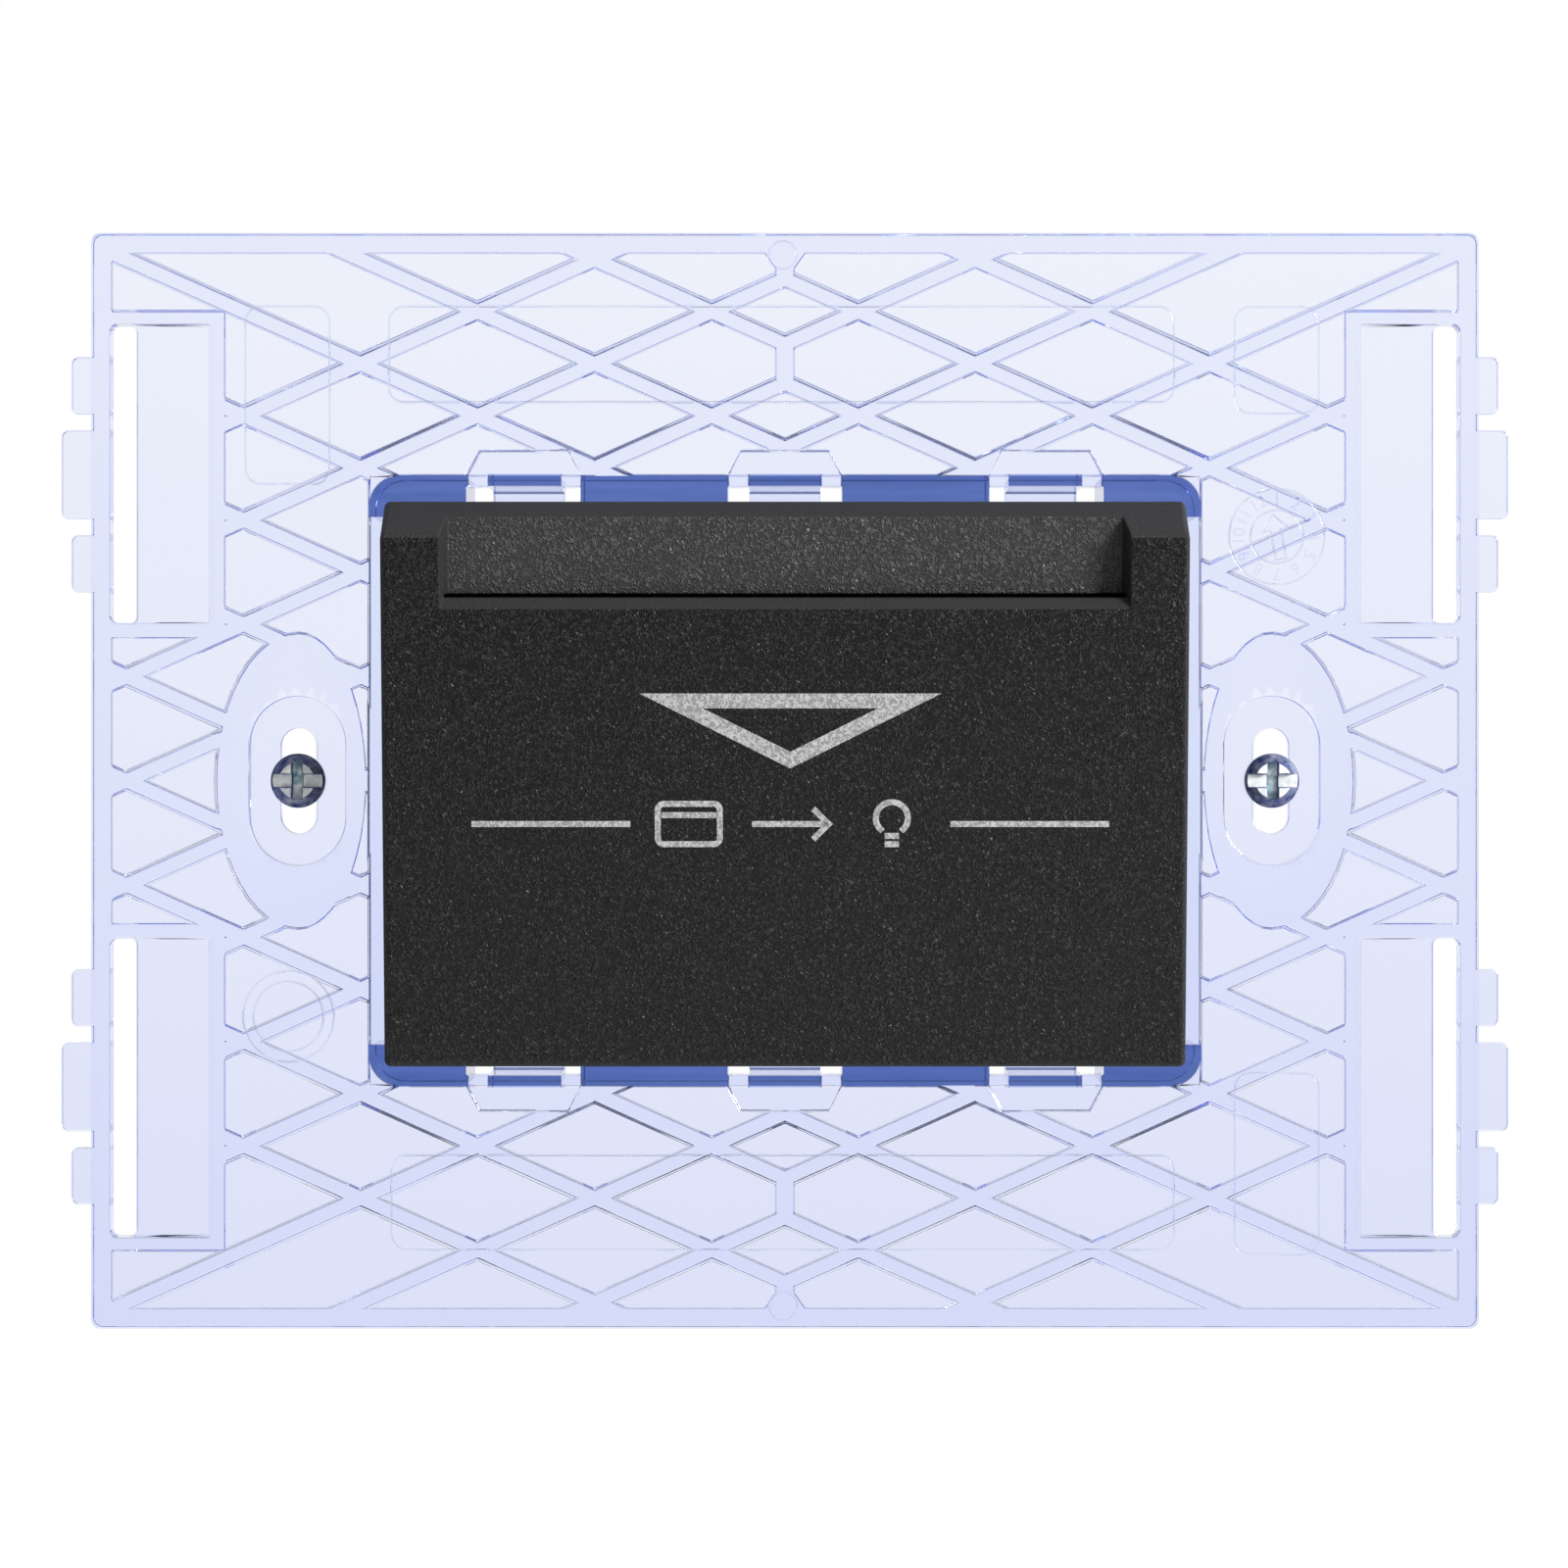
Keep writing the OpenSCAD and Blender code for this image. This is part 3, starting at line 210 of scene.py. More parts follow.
def makeToolGroup():
    inputs = {"Scale": 900.0, "Stretch": 0.06, "Low": 0.2, "High": 0.4}
    group, given, result = startGroup("toolLines", inputs, ("Value", "Height"))
    sides = splitVector(group, scaledPlace(group, given["Scale"]))
    drawn = group.nodes.new("ShaderNodeCombineXYZ")
    group.links.new(mathNode(group, "MULTIPLY", sides["X"], given["Stretch"]), drawn.inputs["X"])
    group.links.new(sides["Y"], drawn.inputs["Y"])
    group.links.new(sides["Z"], drawn.inputs["Z"])
    spreadHeight(group, given, result, noiseNode(group, drawn.outputs[0], spreadSettings["lineDetail"]))
    return group


grainGroup = makeGrainGroup()
hazeGroup = makeHazeGroup()
toolGroup = makeToolGroup()
print("shared effects made")


# clear frame: pale blue polycarbonate, with painted shade on its collar between the clips: a deep streaked
# blue base colour on the collar's rear parts

# deep and streak: the dark blue tones of the painted shade on the collar
clearLook = {"pale": (0.935, 0.950, 1.0), "deep": (0.018, 0.050, 0.165), "streak": (0.050, 0.095, 0.27),
             "tint": (0.125, 0.3125, 0.9625), "density": 62.0, "ior": 1.53,
             "waveScale": 90.0, "smooth": 0.03, "rough": 0.09, "strength": 0.15, "depth": 0.05 * mm,
             "streakScale": 900.0, "deepFrom": 8 * mm,
             "clipPitch": 22.4 * mm, "clipHalf": 4.9 * mm, "clipTop": 25.2 * mm}


def makeClearPlastic():
    look = clearLook
    material, tree, shader = startMaterial("clearPolycarbonate")
    shader.inputs["IOR"].default_value = look["ior"]
    shader.inputs["Transmission Weight"].default_value = 1.0
    sides = splitVector(tree, objectPlace(tree))
    far = mathNode(tree, "GREATER_THAN", sides["Y"], look["deepFrom"])
    fromClip = mathNode(tree, "PINGPONG", sides["X"], look["clipPitch"] / 2)
    between = mathNode(tree, "GREATER_THAN", fromClip, look["clipHalf"])
    outside = mathNode(tree, "GREATER_THAN", mathNode(tree, "ABSOLUTE", sides["Z"]), look["clipTop"])
    # the collar's rear parts between the clips and above and below them, which get the painted shade
    collar = mathNode(tree, "MULTIPLY", far, mathNode(tree, "MAXIMUM", between, outside))
    streaks = placeGroup(tree, toolGroup, Scale=look["streakScale"], Low=0.0, High=1.0)
    streaked = mixNode(tree, "RGBA", streaks["Value"], look["deep"], look["streak"])
    colour = mixNode(tree, "RGBA", collar, look["pale"], streaked)
    tree.links.new(colour, shader.inputs["Base Color"])
    haze = placeGroup(tree, hazeGroup, Scale=look["waveScale"], Low=look["smooth"], High=look["rough"])
    tree.links.new(haze["Value"], shader.inputs["Roughness"])
    bumpInto(tree, shader, haze["Height"], look)
    absorb = tree.nodes.new("ShaderNodeVolumeAbsorption")
    absorb.inputs["Color"].default_value = (*look["tint"], 1)
    absorb.inputs["Density"].default_value = look["density"]
    tree.links.new(absorb.outputs[0], tree.nodes["Material Output"].inputs["Volume"])
    return material


# plain plastics and the printed ink: the ink is mottled by the grain, the others carry fine specks

plasticHaze = 140.0  # patches of sheen to the metre
plasticLooks = {
    "innerBlack": {"dark": (0.010, 0.010, 0.011), "light": (0.02, 0.02, 0.02), "mask": "Speck",
                   "grain": 1500.0, "specks": 0.02, "strength": 0.15, "depth": 0.03 * mm,
                   "smooth": 0.38, "rough": 0.5},
    "acetalWhite": {"dark": (0.72, 0.72, 0.68), "light": (0.8, 0.8, 0.77), "mask": "Speck",
                    "grain": 1200.0, "specks": 0.1, "strength": 0.1, "depth": 0.03 * mm,
                    "smooth": 0.3, "rough": 0.42},
    "housingGrey": {"dark": (0.56, 0.56, 0.53), "light": (0.62, 0.62, 0.59), "mask": "Speck",
                    "grain": 1800.0, "specks": 0.08, "strength": 0.2, "depth": 0.04 * mm,
                    "smooth": 0.4, "rough": 0.52},
    "switchBlack": {"dark": (0.012, 0.012, 0.014), "light": (0.03, 0.03, 0.03), "mask": "Speck",
                    "grain": 2200.0, "specks": 0.05, "strength": 0.2, "depth": 0.03 * mm,
                    "smooth": 0.3, "rough": 0.45},
    "plungerRed": {"dark": (0.42, 0.025, 0.02), "light": (0.5, 0.04, 0.03), "mask": "Speck",
                   "grain": 1500.0, "specks": 0.03, "strength": 0.08, "depth": 0.02 * mm,
                   "smooth": 0.22, "rough": 0.32},
    "silverInk": {"dark": (0.24, 0.24, 0.24), "light": (0.47, 0.47, 0.47), "mask": "Height",
                  "grain": 2300.0, "specks": 0.0, "strength": 0.8, "depth": 0.03 * mm,
                  "smooth": 0.45, "rough": 0.6},
}


def makePlastic(name):
    look = plasticLooks[name]
    material, tree, shader = startMaterial(name)
    grain = placeGroup(tree, grainGroup, Scale=look["grain"], Specks=look["specks"])
    haze = placeGroup(tree, hazeGroup, Scale=plasticHaze, Low=look["smooth"], High=look["rough"])
    colour = mixNode(tree, "RGBA", grain[look["mask"]], look["dark"], look["light"])
    tree.links.new(colour, shader.inputs["Base Color"])
    tree.links.new(haze["Value"], shader.inputs["Roughness"])
    bumpInto(tree, shader, grain["Height"], look)
    return material


# the cover's tilted face: the middle of its lower edge, and its tilt

tiltedFace = {"low": Vector((0, -9.5 * mm, -24.1 * mm)), "tilt": math.radians(6.36)}
faceInward = Vector((0, math.cos(tiltedFace["tilt"]), math.sin(tiltedFace["tilt"])))
faceUp = Vector((0, -faceInward.z, faceInward.y))


# black cover: worm grain all over, fainter on the brow, coarser on the notch's back wall and paler there as
# painted light, and a plain matte tone on the sides that turn away from the face, paler than the face as
# painted light; pale specks as painted sparkles

# light and notchLight: tones of the pale specks, painted highlights standing in for sparkles
coverLook = {"dark": (0.004, 0.004, 0.004), "crest": (0.0115, 0.0115, 0.0115), "light": (0.06, 0.06, 0.06),
             "grain": 2600.0, "specks": 0.02, "strength": 1.0, "depth": 0.09 * mm,
             "smooth": 0.24, "rough": 0.33, "specular": 0.3,
             # the notch's tones, paler than the face's: painted light on the back wall
             "notchDark": (0.037, 0.037, 0.037), "notchCrest": (0.060, 0.060, 0.060),
             "notchLight": (0.2, 0.2, 0.2), "notchGrain": 2200.0,
             "notchFrom": 1.5 * mm, "notchFacing": 0.8,
             "browFrom": 0.25, "browTo": 0.55, "browDepth": 0.2,
             # the tone of the sides turned from the face: painted light
             "sidePaintedLight": (0.026, 0.026, 0.026), "sideRough": 0.6, "sideFrom": 0.93, "sideTo": 0.85}


# grain tone: darker valleys and paler crests, with pale specks; on the cover the specks are painted
# highlights
def grainedColour(tree, grain, dark, crest, light):
    worm = mixNode(tree, "RGBA", grain["Height"], dark, crest)
    return mixNode(tree, "RGBA", grain["Speck"], worm, light)


def makeCoverPlastic():
    look = coverLook
    material, tree, shader = startMaterial("grainedBlack")
    shader.inputs["Specular IOR Level"].default_value = look["specular"]
    normal = trueNormal(tree)
    lean = splitVector(tree, normal)
    behind = dotNode(tree, objectPlace(tree), faceInward)
    deep = mathNode(tree, "GREATER_THAN", behind, faceInward.dot(tiltedFace["low"]) + look["notchFrom"])
    inNotch = mathNode(tree, "MULTIPLY", deep, mathNode(tree, "LESS_THAN", lean["Y"], -look["notchFacing"]))
    # sides turned away from the face (brow, lip, notch sides, rounded edges) get a paler tone as painted
    # light
    turned = rangeNode(tree, dotNode(tree, normal, -faceInward), look["sideFrom"], look["sideTo"])
    fine = placeGroup(tree, grainGroup, Scale=look["grain"], Specks=look["specks"])
    coarse = placeGroup(tree, grainGroup, Scale=look["notchGrain"], Specks=look["specks"])
    faceColour = grainedColour(tree, fine, look["dark"], look["crest"], look["light"])
    notchPaintedLight = grainedColour(tree, coarse, look["notchDark"], look["notchCrest"], look["notchLight"])
    colour = mixNode(tree, "RGBA", inNotch, faceColour, notchPaintedLight)
    toned = mixNode(tree, "RGBA", turned, colour, look["sidePaintedLight"])
    tree.links.new(toned, shader.inputs["Base Color"])
    haze = placeGroup(tree, hazeGroup, Scale=plasticHaze, Low=look["smooth"], High=look["rough"])
    matte = mixNode(tree, "FLOAT", turned, haze["Value"], look["sideRough"])
    tree.links.new(matte, shader.inputs["Roughness"])
    height = mixNode(tree, "FLOAT", inNotch, fine["Height"], coarse["Height"])
    fade = rangeNode(tree, lean["Z"], look["browFrom"], look["browTo"], 1.0, look["browDepth"])
    bumpInto(tree, shader, mathNode(tree, "MULTIPLY", height, fade), look)
    return material


# metals

metalHaze = 500.0  # patches of tone to the metre
metalBump = {"strength": 0.12, "depth": 0.02 * mm}
metalLooks = {
    "brightZinc": {"dark": (0.58, 0.64, 0.68), "light": (0.93, 0.94, 0.92),
                   "smooth": 0.24, "rough": 0.48, "scale": 700.0},
    "groundSteel": {"dark": (0.48, 0.48, 0.48), "light": (0.62, 0.62, 0.61),
                    "smooth": 0.2, "rough": 0.35, "scale": 1500.0},
    "springWire": {"dark": (0.42, 0.42, 0.43), "light": (0.58, 0.58, 0.57),
                   "smooth": 0.25, "rough": 0.4, "scale": 1200.0},
    "bladeCopper": {"dark": (0.70, 0.40, 0.22), "light": (0.82, 0.52, 0.32),
                    "smooth": 0.22, "rough": 0.38, "scale": 900.0},
    "rivetSilver": {"dark": (0.74, 0.74, 0.71), "light": (0.88, 0.88, 0.86),
                    "smooth": 0.18, "rough": 0.3, "scale": 900.0},
    "plainBrass": {"dark": (0.62, 0.44, 0.16), "light": (0.78, 0.6, 0.28),
                   "smooth": 0.22, "rough": 0.4, "scale": 800.0},
}


def makeMetal(name):
    look = metalLooks[name]
    material, tree, shader = startMaterial(name)
    shader.inputs["Metallic"].default_value = 1.0
    lines = placeGroup(tree, toolGroup, Scale=look["scale"], Low=look["smooth"], High=look["rough"])
    haze = placeGroup(tree, hazeGroup, Scale=metalHaze)
    colour = mixNode(tree, "RGBA", haze["Value"], look["dark"], look["light"])
    tree.links.new(colour, shader.inputs["Base Color"])
    tree.links.new(lines["Value"], shader.inputs["Roughness"])
    bumpInto(tree, shader, lines["Height"], metalBump)
    return material


# fixing screws: pale worn zinc; a painted reflection in navy blue on the head's flank and edges, and
# painted shade in teal with painted highlights at the bottom of the cross

# deep and glint: painted shade and painted highlights in the cross recess; flank and its paler patches:
# painted reflection
screwLook = {"front": (0.95, 0.96, 0.94), "worn": (0.62, 0.67, 0.68), "flank": (0.05, 0.08, 0.27),
             "flankPale": (0.48, 0.51, 0.60), "deep": (0.10, 0.30, 0.36), "glint": (0.95, 1.0, 1.0),
             "deepFrom": 1.0 * mm, "headDepth": 2.2 * mm, "facing": 0.93, "patches": 1500.0,
             "scale": 700.0, "smooth": 0.48, "rough": 0.7, "strength": 0.3, "depth": 0.02 * mm}


def makeScrewZinc():
    look = screwLook
    material, tree, shader = startMaterial("zincPaintedReflection")
    shader.inputs["Metallic"].default_value = 1.0
    along = splitVector(tree, objectPlace(tree))["Y"]
    lean = splitVector(tree, trueNormal(tree))["Y"]
    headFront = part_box("fixing_screws")[0][1]
    onHead = mathNode(tree, "LESS_THAN", along, headFront + look["headDepth"])
    # the deeper part of the head, mostly the cross recess, gets painted shade with painted glints
    deep = mathNode(tree, "GREATER_THAN", along, headFront + look["deepFrom"])
    # faces turned from the front, the head's flank and edges, get a painted reflection in navy with paler
    # patches
    turned = mathNode(tree, "GREATER_THAN", lean, -look["facing"])
    patches = placeGroup(tree, hazeGroup, Scale=look["patches"])["Value"]
    colour = mixNode(tree, "RGBA", patches, look["worn"], look["front"])
    for place, low, high in ((deep, "deep", "glint"), (turned, "flank", "flankPale")):
        tone = mixNode(tree, "RGBA", patches, look[low], look[high])
        colour = mixNode(tree, "RGBA", mathNode(tree, "MULTIPLY", place, onHead), colour, tone)
    tree.links.new(colour, shader.inputs["Base Color"])
    lines = placeGroup(tree, toolGroup, Scale=look["scale"], Low=look["smooth"], High=look["rough"])
    tree.links.new(lines["Value"], shader.inputs["Roughness"])
    bumpInto(tree, shader, lines["Height"], look)
    return material


clearPlastic = makeClearPlastic()
coverPlastic = makeCoverPlastic()
screwZinc = makeScrewZinc()
plastics = {name: makePlastic(name) for name in plasticLooks}
metals = {name: makeMetal(name) for name in metalLooks}
print("materials made:", len([clearPlastic, coverPlastic, screwZinc, *plastics, *metals]))


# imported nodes, all but the spring: a finish for each, and the width of its softened edges in millimetres

edgeSettings = {"weld": 0.001 * mm, "segments": 2, "sharpFrom": math.radians(35)}
nodeFinish = {
    "support_frame": (clearPlastic, 0.1),
    "fixing_screws": (screwZinc, 0.06),
    "front_cover": (coverPlastic, 0.12),
    "card_guide": (plastics["innerBlack"], 0.1),
    "guide_screws": (metals["brightZinc"], 0.05),
    "card_lever": (plastics["acetalWhite"], 0.12),
    "lever_pin": (metals["groundSteel"], 0.08),
    "rear_housing": (plastics["housingGrey"], 0.15),
    "switch_case": (plastics["switchBlack"], 0.1),
    "switch_lid": (plastics["switchBlack"], 0.1),
    "switch_plunger": (plastics["plungerRed"], 0.1),
    "contact_blade": (metals["bladeCopper"], 0.03),
    "moving_contact": (metals["rivetSilver"], 0.06),
    "common_terminal": (metals["plainBrass"], 0.06),
    "make_terminal": (metals["plainBrass"], 0.06),
    "break_terminal": (metals["plainBrass"], 0.06),
    "make_contact": (metals["rivetSilver"], 0.06),
    "break_contact": (metals["rivetSilver"], 0.06),
    "peg_washers": (metals["springWire"], 0.05),
    "wire_clamps": (metals["plainBrass"], 0.1),
    "clamp_screws": (metals["brightZinc"], 0.06),
    "rear_cover": (plastics["housingGrey"], 0.15),
    "rear_screws": (metals["brightZinc"], 0.06),
}


def softenEdges(node, width):
    weld = node.modifiers.new("joinSeams", "WELD")
    weld.merge_threshold = edgeSettings["weld"]
    bevel = node.modifiers.new("softEdges", "BEVEL")
    bevel.width = width * mm
    bevel.segments = edgeSettings["segments"]
    bevel.limit_method = "ANGLE"
    bevel.angle_limit = edgeSettings["sharpFrom"]
    bevel.use_clamp_overlap = False
    bevel.loop_slide = False
    shade = node.modifiers.new("evenShade", "WEIGHTED_NORMAL")
    shade.keep_sharp = True


for name, (material, width) in nodeFinish.items():
    nodes[name].data.materials.clear()
    nodes[name].data.materials.append(material)
    softenEdges(nodes[name], width)
print("finishes set on", len(nodeFinish), "nodes")


# drawing helpers: lines swept with a small cross section, and rings of points joined by faces

mitreLimit = 0.05  # keeps the corner of a very sharp turn from running far out


def arcPoints(x, z, radius, start, end, count=6):
    turns = [math.radians(start + (end - start) * i / count) for i in range(count + 1)]
    return [(x + radius * math.cos(turn), z + radius * math.sin(turn)) for turn in turns]


def circlePoints(x, z, radius, count=48):
    return arcPoints(x, z, radius, 0, 360, count)[:-1]


def roundedBox(x, z, width, height, radius):
    points = []
    for sideX, sideZ, start in ((1, 1, 0), (-1, 1, 90), (-1, -1, 180), (1, -1, 270)):
        points += arcPoints(x + sideX * (width / 2 - radius), z + sideZ * (height / 2 - radius),
                            radius, start, start + 90)
    return points


def lineNormals(points, closed):
    count = len(points)
    spans = [(Vector(points[(i + 1) % count]) - Vector(points[i])).normalized() for i in range(count)]
    normals = []
    for i in range(count):
        before = spans[i - 1] if closed or i else spans[0]
        after = spans[i] if closed or i < count - 1 else spans[i - 1]
        first, second = Vector((-before.y, before.x)), Vector((-after.y, after.x))
        normals.append((first + second) / max(1 + first.dot(second), mitreLimit))
    return normals


def joinRings(sheet, rings, closed, smooth=False):
    count = len(rings[0])
    for i in range(len(rings) if closed else len(rings) - 1):
        here, there = rings[i], rings[(i + 1) % len(rings)]
        for k in range(count):
            near = (k + 1) % count
            sheet.faces.new((here[k], here[near], there[near], there[k])).smooth = smooth
    if not closed:
        sheet.faces.new(rings[0])
        sheet.faces.new(rings[-1])


def sweepLine(sheet, points, closed, profile, place):
    rings = []
    for (x, z), normal in zip(points, lineNormals(points, closed)):
        corners = [place(x + normal.x * side, z + normal.y * side, up) for side, up in profile]
        rings.append([sheet.verts.new(corner) for corner in corners])
    joinRings(sheet, rings, closed)


def finishSheet(sheet, name, material):
    bmesh.ops.recalc_face_normals(sheet, faces=sheet.faces)
    mesh = bpy.data.meshes.new(name)
    sheet.to_mesh(mesh)
    sheet.free()
    mesh.materials.append(material)
    piece = bpy.data.objects.new(name, mesh)
    bpy.context.scene.collection.objects.link(piece)
    return piece


# return spring: a smoother coil in the imported one's place, which is hidden

springLook = {"turns": 5, "steps": 24, "sides": 8, "wire": 0.25 * mm, "beyond": 0.5 * mm}


def makeSpring():
    low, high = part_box("return_spring")
    wire, sides, steps = springLook["wire"], springLook["sides"], springLook["steps"]
    radius, middle = (high.x - low.x) / 2 - wire, (low.z + high.z) / 2
    count = springLook["turns"] * steps
    rise = (high.y - low.y - 2 * wire) / count
    sheet = bmesh.new()
    rings = []
    for i in range(count + 1):
        turn = 2 * math.pi * i / steps
        ring = []
        for k in range(sides):
            around = 2 * math.pi * k / sides
            reach, y = radius + wire * math.cos(around), low.y + wire + i * rise + wire * math.sin(around)
            ring.append(sheet.verts.new((reach * math.cos(turn), y, middle + reach * math.sin(turn))))
        rings.append(ring)
    joinRings(sheet, rings, False, smooth=True)
    spring = finishSheet(sheet, "returnSpring", metals["springWire"])
    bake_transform(spring)
    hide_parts("return_spring")


makeSpring()
print("spring made")


# printed marks on the cover's tilted face, in millimetres across and up along the face:
# a triangle, and below it a row of signs for card, arrow and lamp between two rules

faceMarks = {"thick": 0.02, "lift": 0.012, "middle": 0.45,
             "triangleTop": 30.95, "triangleTip": 25.98, "triangleHalf": 9.97, "triangleLine": 1.25,
             "rowMiddle": 20.6, "rowLine": 0.5, "signReach": 8.5,
             "cardSize": (5.2, 3.4), "cardCorner": 0.5, "stripeHalf": 2.3, "stripeUp": 0.75,
             "arrowHalf": 3.2, "arrowHead": 1.3,
             "bulbRadius": 1.35, "bulbUp": 0.5, "bulbArc": (-55, 235), "bulbSteps": 18,
             "bulbFootHalf": 0.6, "bulbFootDrops": (1.0, 1.7), "ruleFrom": 13.4, "ruleTo": 26.7}


def onFace(x, v, up):
    place = Vector((x, 0, 0)) + v * faceUp - (up + faceMarks["lift"]) * faceInward
    return tiltedFace["low"] + place * mm


def inkProfile(width):
    half, thick = width / 2, faceMarks["thick"]
    return [(-half, 0), (half, 0), (half, thick), (-half, thick)]


def makeFaceMarks():
    look = faceMarks
    sheet = bmesh.new()
    middle, row = look["middle"], look["rowMiddle"]
    half, top, tip = look["triangleHalf"], look["triangleTop"], look["triangleTip"]
    thick, thin = inkProfile(look["triangleLine"]), inkProfile(look["rowLine"])
    sweepLine(sheet, [(middle - half, top), (middle, tip), (middle + half, top)], True, thick, onFace)
    cardX, bulbX = middle - look["signReach"], middle + look["signReach"]
    sweepLine(sheet, roundedBox(cardX, row, *look["cardSize"], look["cardCorner"]), True, thin, onFace)
    stripe, stripeZ = look["stripeHalf"], row + look["stripeUp"]
    sweepLine(sheet, [(cardX - stripe, stripeZ), (cardX + stripe, stripeZ)], False, thin, onFace)
    arrowTip, head = middle + look["arrowHalf"], look["arrowHead"]
    sweepLine(sheet, [(middle - look["arrowHalf"], row), (arrowTip, row)], False, thin, onFace)
    barbs = [(arrowTip - head, row + head), (arrowTip, row), (arrowTip - head, row - head)]
    sweepLine(sheet, barbs, False, thin, onFace)
    bulb = arcPoints(bulbX, row + look["bulbUp"], look["bulbRadius"], *look["bulbArc"], look["bulbSteps"])
    sweepLine(sheet, bulb, False, thin, onFace)
    foot = look["bulbFootHalf"]
    for drop in look["bulbFootDrops"]:
        sweepLine(sheet, [(bulbX - foot, row - drop), (bulbX + foot, row - drop)], False, thin, onFace)
    for side in (-1, 1):
        rule = [(middle + side * look["ruleFrom"], row), (middle + side * look["ruleTo"], row)]
        sweepLine(sheet, rule, False, thin, onFace)
    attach(finishSheet(sheet, "faceMarks", plastics["silverInk"]), "base")


# fine raised outlines on the frame's front, in millimetres across and up from the frame's middle:
# a box is middle and size, a ring middle and radius

frameMarks = {"frontY": -2.6, "lift": 0.004, "height": 0.06, "foot": 0.16, "crest": 0.08, "boxCorner": 1.3,
              "boxes": ((-42.6, 33.0, 7.2, 15.2), (-0.3, 36.5, 67.2, 8.2), (42.1, 36.0, 7.2, 9.1),
                        (-0.2, -36.1, 67.0, 8.1), (42.1, -32.8, 7.2, 15.5)),
              "rings": ((-42.5, -20.2, 3.0), (-42.5, -20.2, 3.9), (-0.2, -45.0, 1.2), (-0.2, 45.0, 1.2))}


def onFrame(x, z, up):
    return Vector((x, frameMarks["frontY"] - frameMarks["lift"] - up, z)) * mm


def ridgeProfile():
    foot, crest, height = frameMarks["foot"] / 2, frameMarks["crest"] / 2, frameMarks["height"]
    return [(-foot, 0), (foot, 0), (crest, height), (-crest, height)]


def makeFrameMarks():
    sheet = bmesh.new()
    ridge = ridgeProfile()
    for x, z, width, height in frameMarks["boxes"]:
        sweepLine(sheet, roundedBox(x, z, width, height, frameMarks["boxCorner"]), True, ridge, onFrame)
    for x, z, radius in frameMarks["rings"]:
        sweepLine(sheet, circlePoints(x, z, radius), True, ridge, onFrame)
    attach(finishSheet(sheet, "frameOutlines", clearPlastic), "base")


# date dial on the frame's front: two rings, the months between them and an arrow inside,
# whose outline is given in shares of the inner ring's radius

dialMarks = {"middle": (42.1, 20.9), "outer": 4.1, "inner": 2.27, "months": 12, "digitRing": 3.18,
             "digitSize": 1.5, "arrowTurn": math.radians(10),
             "arrow": ((0, 0.85), (0.5, 0.25), (0.2, 0.25), (0.2, -0.85),
                       (-0.2, -0.85), (-0.2, 0.25), (-0.5, 0.25))}


def addDigit(sheet, text, x, z, turn):
    curve = bpy.data.curves.new("digit", "FONT")
    curve.body = text
    curve.size = dialMarks["digitSize"]
    curve.align_x = "CENTER"
    curve.align_y = "CENTER"
    curve.extrude = frameMarks["height"] / 2
    holder = bpy.data.objects.new("digit", curve)
    bpy.context.scene.collection.objects.link(holder)
    shape = bpy.data.meshes.new_from_object(holder.evaluated_get(bpy.context.evaluated_depsgraph_get()))
    lift = frameMarks["frontY"] - frameMarks["lift"] - frameMarks["height"] / 2
    turned = Matrix.Rotation(turn, 4, "Y") @ Matrix.Rotation(math.pi / 2, 4, "X")
    shape.transform(Matrix.Scale(mm, 4) @ Matrix.Translation((x, lift, z)) @ turned)
    sheet.from_mesh(shape)
    bpy.data.objects.remove(holder)
    bpy.data.curves.remove(curve)
    bpy.data.meshes.remove(shape)


def makeDateDial():
    look = dialMarks
    sheet = bmesh.new()
    ridge = ridgeProfile()
    dialX, dialZ = look["middle"]
    for radius in (look["outer"], look["inner"]):
        sweepLine(sheet, circlePoints(dialX, dialZ, radius), True, ridge, onFrame)
    turn = look["arrowTurn"]
    across, along = Vector((math.cos(turn), math.sin(turn))), Vector((-math.sin(turn), math.cos(turn)))
    middle, inner = Vector(look["middle"]), look["inner"]
    arrow = [middle + inner * (side * across + up * along) for side, up in look["arrow"]]
    sweepLine(sheet, [tuple(point) for point in arrow], True, ridge, onFrame)
    for month in range(look["months"]):
        angle = 2 * math.pi * month / look["months"]
        addDigit(sheet, str(month + 1), dialX + look["digitRing"] * math.sin(angle),
                 dialZ + look["digitRing"] * math.cos(angle), angle)
    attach(finishSheet(sheet, "dateDial", clearPlastic), "base")


makeFaceMarks()
makeFrameMarks()
makeDateDial()
print("marks made")


# camera straight in front, at the distance that the pocket's perspective gives

cameraSettings = {"place": (-0.08 * mm, -422.6 * mm, -0.28 * mm), "lens": 112.65, "clipStart": 0.01,
                  "turn": (math.radians(90), 0, 0)}


def makeCamera():
    data = bpy.data.cameras.new("frontCamera")
    data.lens = cameraSettings["lens"]
    data.clip_start = cameraSettings["clipStart"]
    camera = bpy.data.objects.new("frontCamera", data)
    camera.location = cameraSettings["place"]
    camera.rotation_euler = cameraSettings["turn"]
    bpy.context.scene.collection.objects.link(camera)
    bpy.context.scene.camera = camera


# plain studio world: the camera sees white; the light on the part is dimmer from below and from the left;
# the clear frame shows white straight through, a cooler white low down and pale blue sideways;
# mirrored rays that leave to the back find white too

white = (1, 1, 1)
worldSettings = {"riseSpan": (-0.3, 0.4), "below": 0.08, "above": 0.8,
                 "swingSpan": (-0.7, 0.7), "left": 0.12, "right": 1.3,
                 "throughSpan": (0.45, 0.975), "sideways": (0.40, 0.46, 0.76),
                 "levelSpan": (-0.11, 0.11), "lowWhite": (0.845, 0.864, 0.985),
                 "mirrorSpan": (0.2, 0.6)}


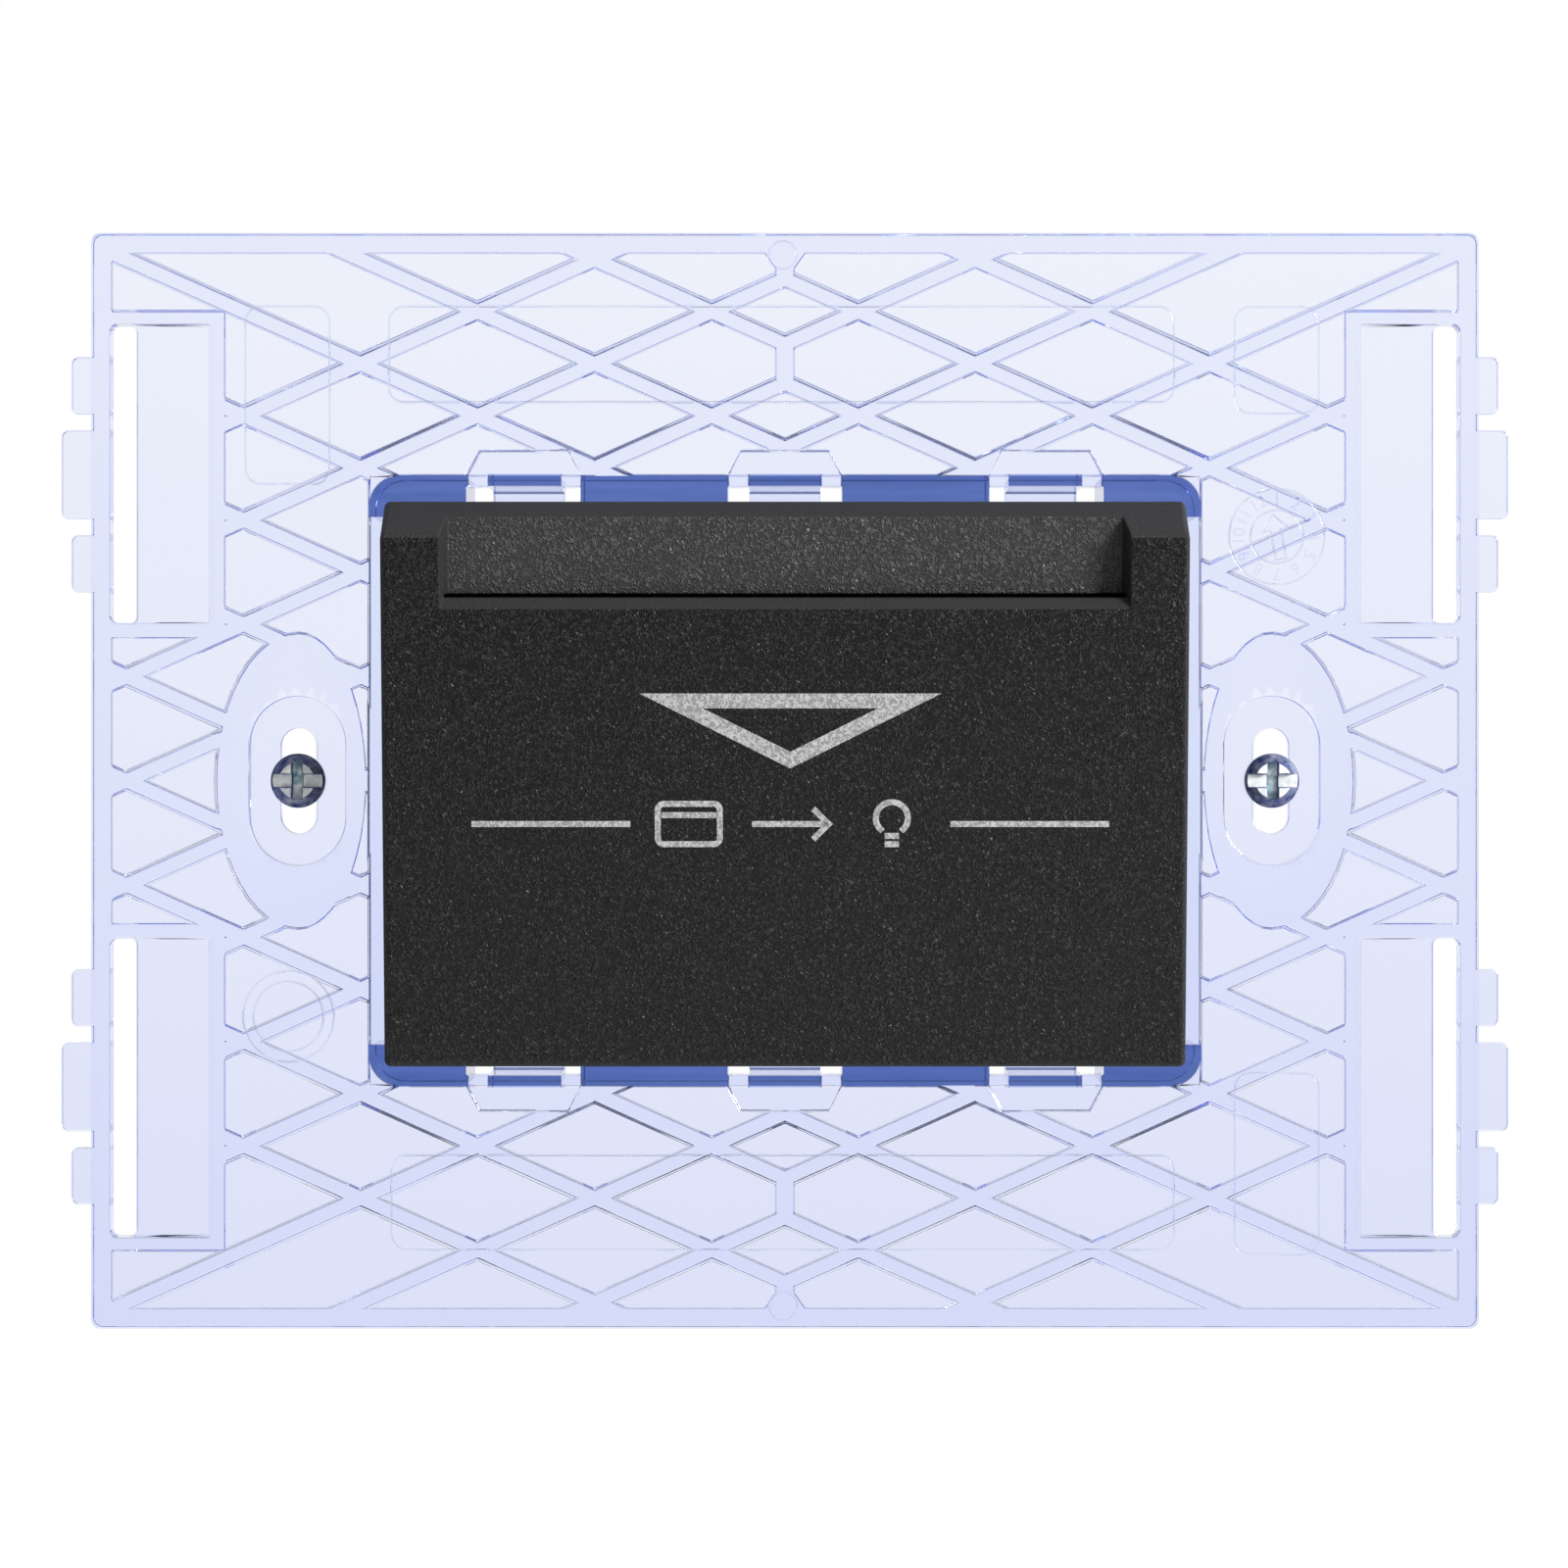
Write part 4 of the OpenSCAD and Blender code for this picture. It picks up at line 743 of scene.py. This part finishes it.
def makeWorld():
    look = worldSettings
    world = bpy.data.worlds.new("studio")
    world.use_nodes = True
    bpy.context.scene.world = world
    tree = world.node_tree
    tree.nodes.clear()
    sides = splitVector(tree, tree.nodes.new("ShaderNodeTexCoord").outputs["Generated"])
    path = tree.nodes.new("ShaderNodeLightPath").outputs
    rise = rangeNode(tree, sides["Z"], *look["riseSpan"], look["below"], look["above"], "SMOOTHSTEP")
    swing = rangeNode(tree, sides["X"], *look["swingSpan"], look["left"], look["right"], "SMOOTHSTEP")
    room = mathNode(tree, "MULTIPLY", rise, swing)
    mirrored = rangeNode(tree, sides["Y"], *look["mirrorSpan"], curve="SMOOTHSTEP")
    whiteMirror = mathNode(tree, "MULTIPLY", mirrored, path["Is Glossy Ray"])
    glossy = mixNode(tree, "RGBA", whiteMirror, room, white)
    depth = mathNode(tree, "ABSOLUTE", sides["Y"])
    through = rangeNode(tree, depth, *look["throughSpan"], curve="SMOOTHSTEP")
    level = rangeNode(tree, sides["Z"], *look["levelSpan"])
    straight = mixNode(tree, "RGBA", level, look["lowWhite"], white)
    behind = mixNode(tree, "RGBA", through, look["sideways"], straight)
    seen = mixNode(tree, "RGBA", path["Is Transmission Ray"], glossy, behind)
    shown = mixNode(tree, "RGBA", path["Is Camera Ray"], seen, white)
    background = tree.nodes.new("ShaderNodeBackground")
    tree.links.new(shown, background.inputs["Color"])
    output = tree.nodes.new("ShaderNodeOutputWorld")
    tree.links.new(background.outputs[0], output.inputs["Surface"])


# one soft lamp in front, high at the right, aimed at the part's middle, in watts and metres

lampSettings = {"power": 6.5, "size": 0.25, "place": (0.54, -0.52, 0.27)}


def makeLamp():
    data = bpy.data.lights.new("softLamp", "AREA")
    data.energy = lampSettings["power"]
    data.size = lampSettings["size"]
    lamp = bpy.data.objects.new("softLamp", data)
    lamp.location = lampSettings["place"]
    lamp.rotation_mode = "QUATERNION"
    lamp.rotation_quaternion = (-lamp.location).to_track_quat("-Z", "Y")
    bpy.context.scene.collection.objects.link(lamp)


# pale floor below the part, in metres, clear from below so that it never hides it

floorSettings = {"tone": (0.85, 0.85, 0.85), "rough": 0.8,
                 "z": -0.13, "half": 0.6, "front": -0.7, "back": 0.33}


def makeFloor():
    look = floorSettings
    material, tree, shader = startMaterial("paleFloor")
    shader.inputs["Base Color"].default_value = (*look["tone"], 1)
    shader.inputs["Roughness"].default_value = look["rough"]
    geometry = tree.nodes.new("ShaderNodeNewGeometry")
    clear = tree.nodes.new("ShaderNodeBsdfTransparent")
    choice = tree.nodes.new("ShaderNodeMixShader")
    tree.links.new(geometry.outputs["Backfacing"], choice.inputs[0])
    tree.links.new(shader.outputs[0], choice.inputs[1])
    tree.links.new(clear.outputs[0], choice.inputs[2])
    tree.links.new(choice.outputs[0], tree.nodes["Material Output"].inputs["Surface"])
    mesh = bpy.data.meshes.new("floor")
    half, front, back, z = look["half"], look["front"], look["back"], look["z"]
    corners = [(-half, front, z), (half, front, z), (half, back, z), (-half, back, z)]
    mesh.from_pydata(corners, [], [(0, 1, 2, 3)])
    mesh.materials.append(material)
    floor = bpy.data.objects.new("floor", mesh)
    bpy.context.scene.collection.objects.link(floor)


# light may turn often inside the clear frame before it leaves it

bounceSettings = {"max_bounces": 32, "glossy_bounces": 24, "transmission_bounces": 24}


def setBounces():
    for name, count in bounceSettings.items():
        setattr(bpy.context.scene.cycles, name, count)


makeCamera()
makeWorld()
makeLamp()
makeFloor()
setBounces()
bpy.context.scene.view_settings.view_transform = "Standard"
print("camera and studio set")
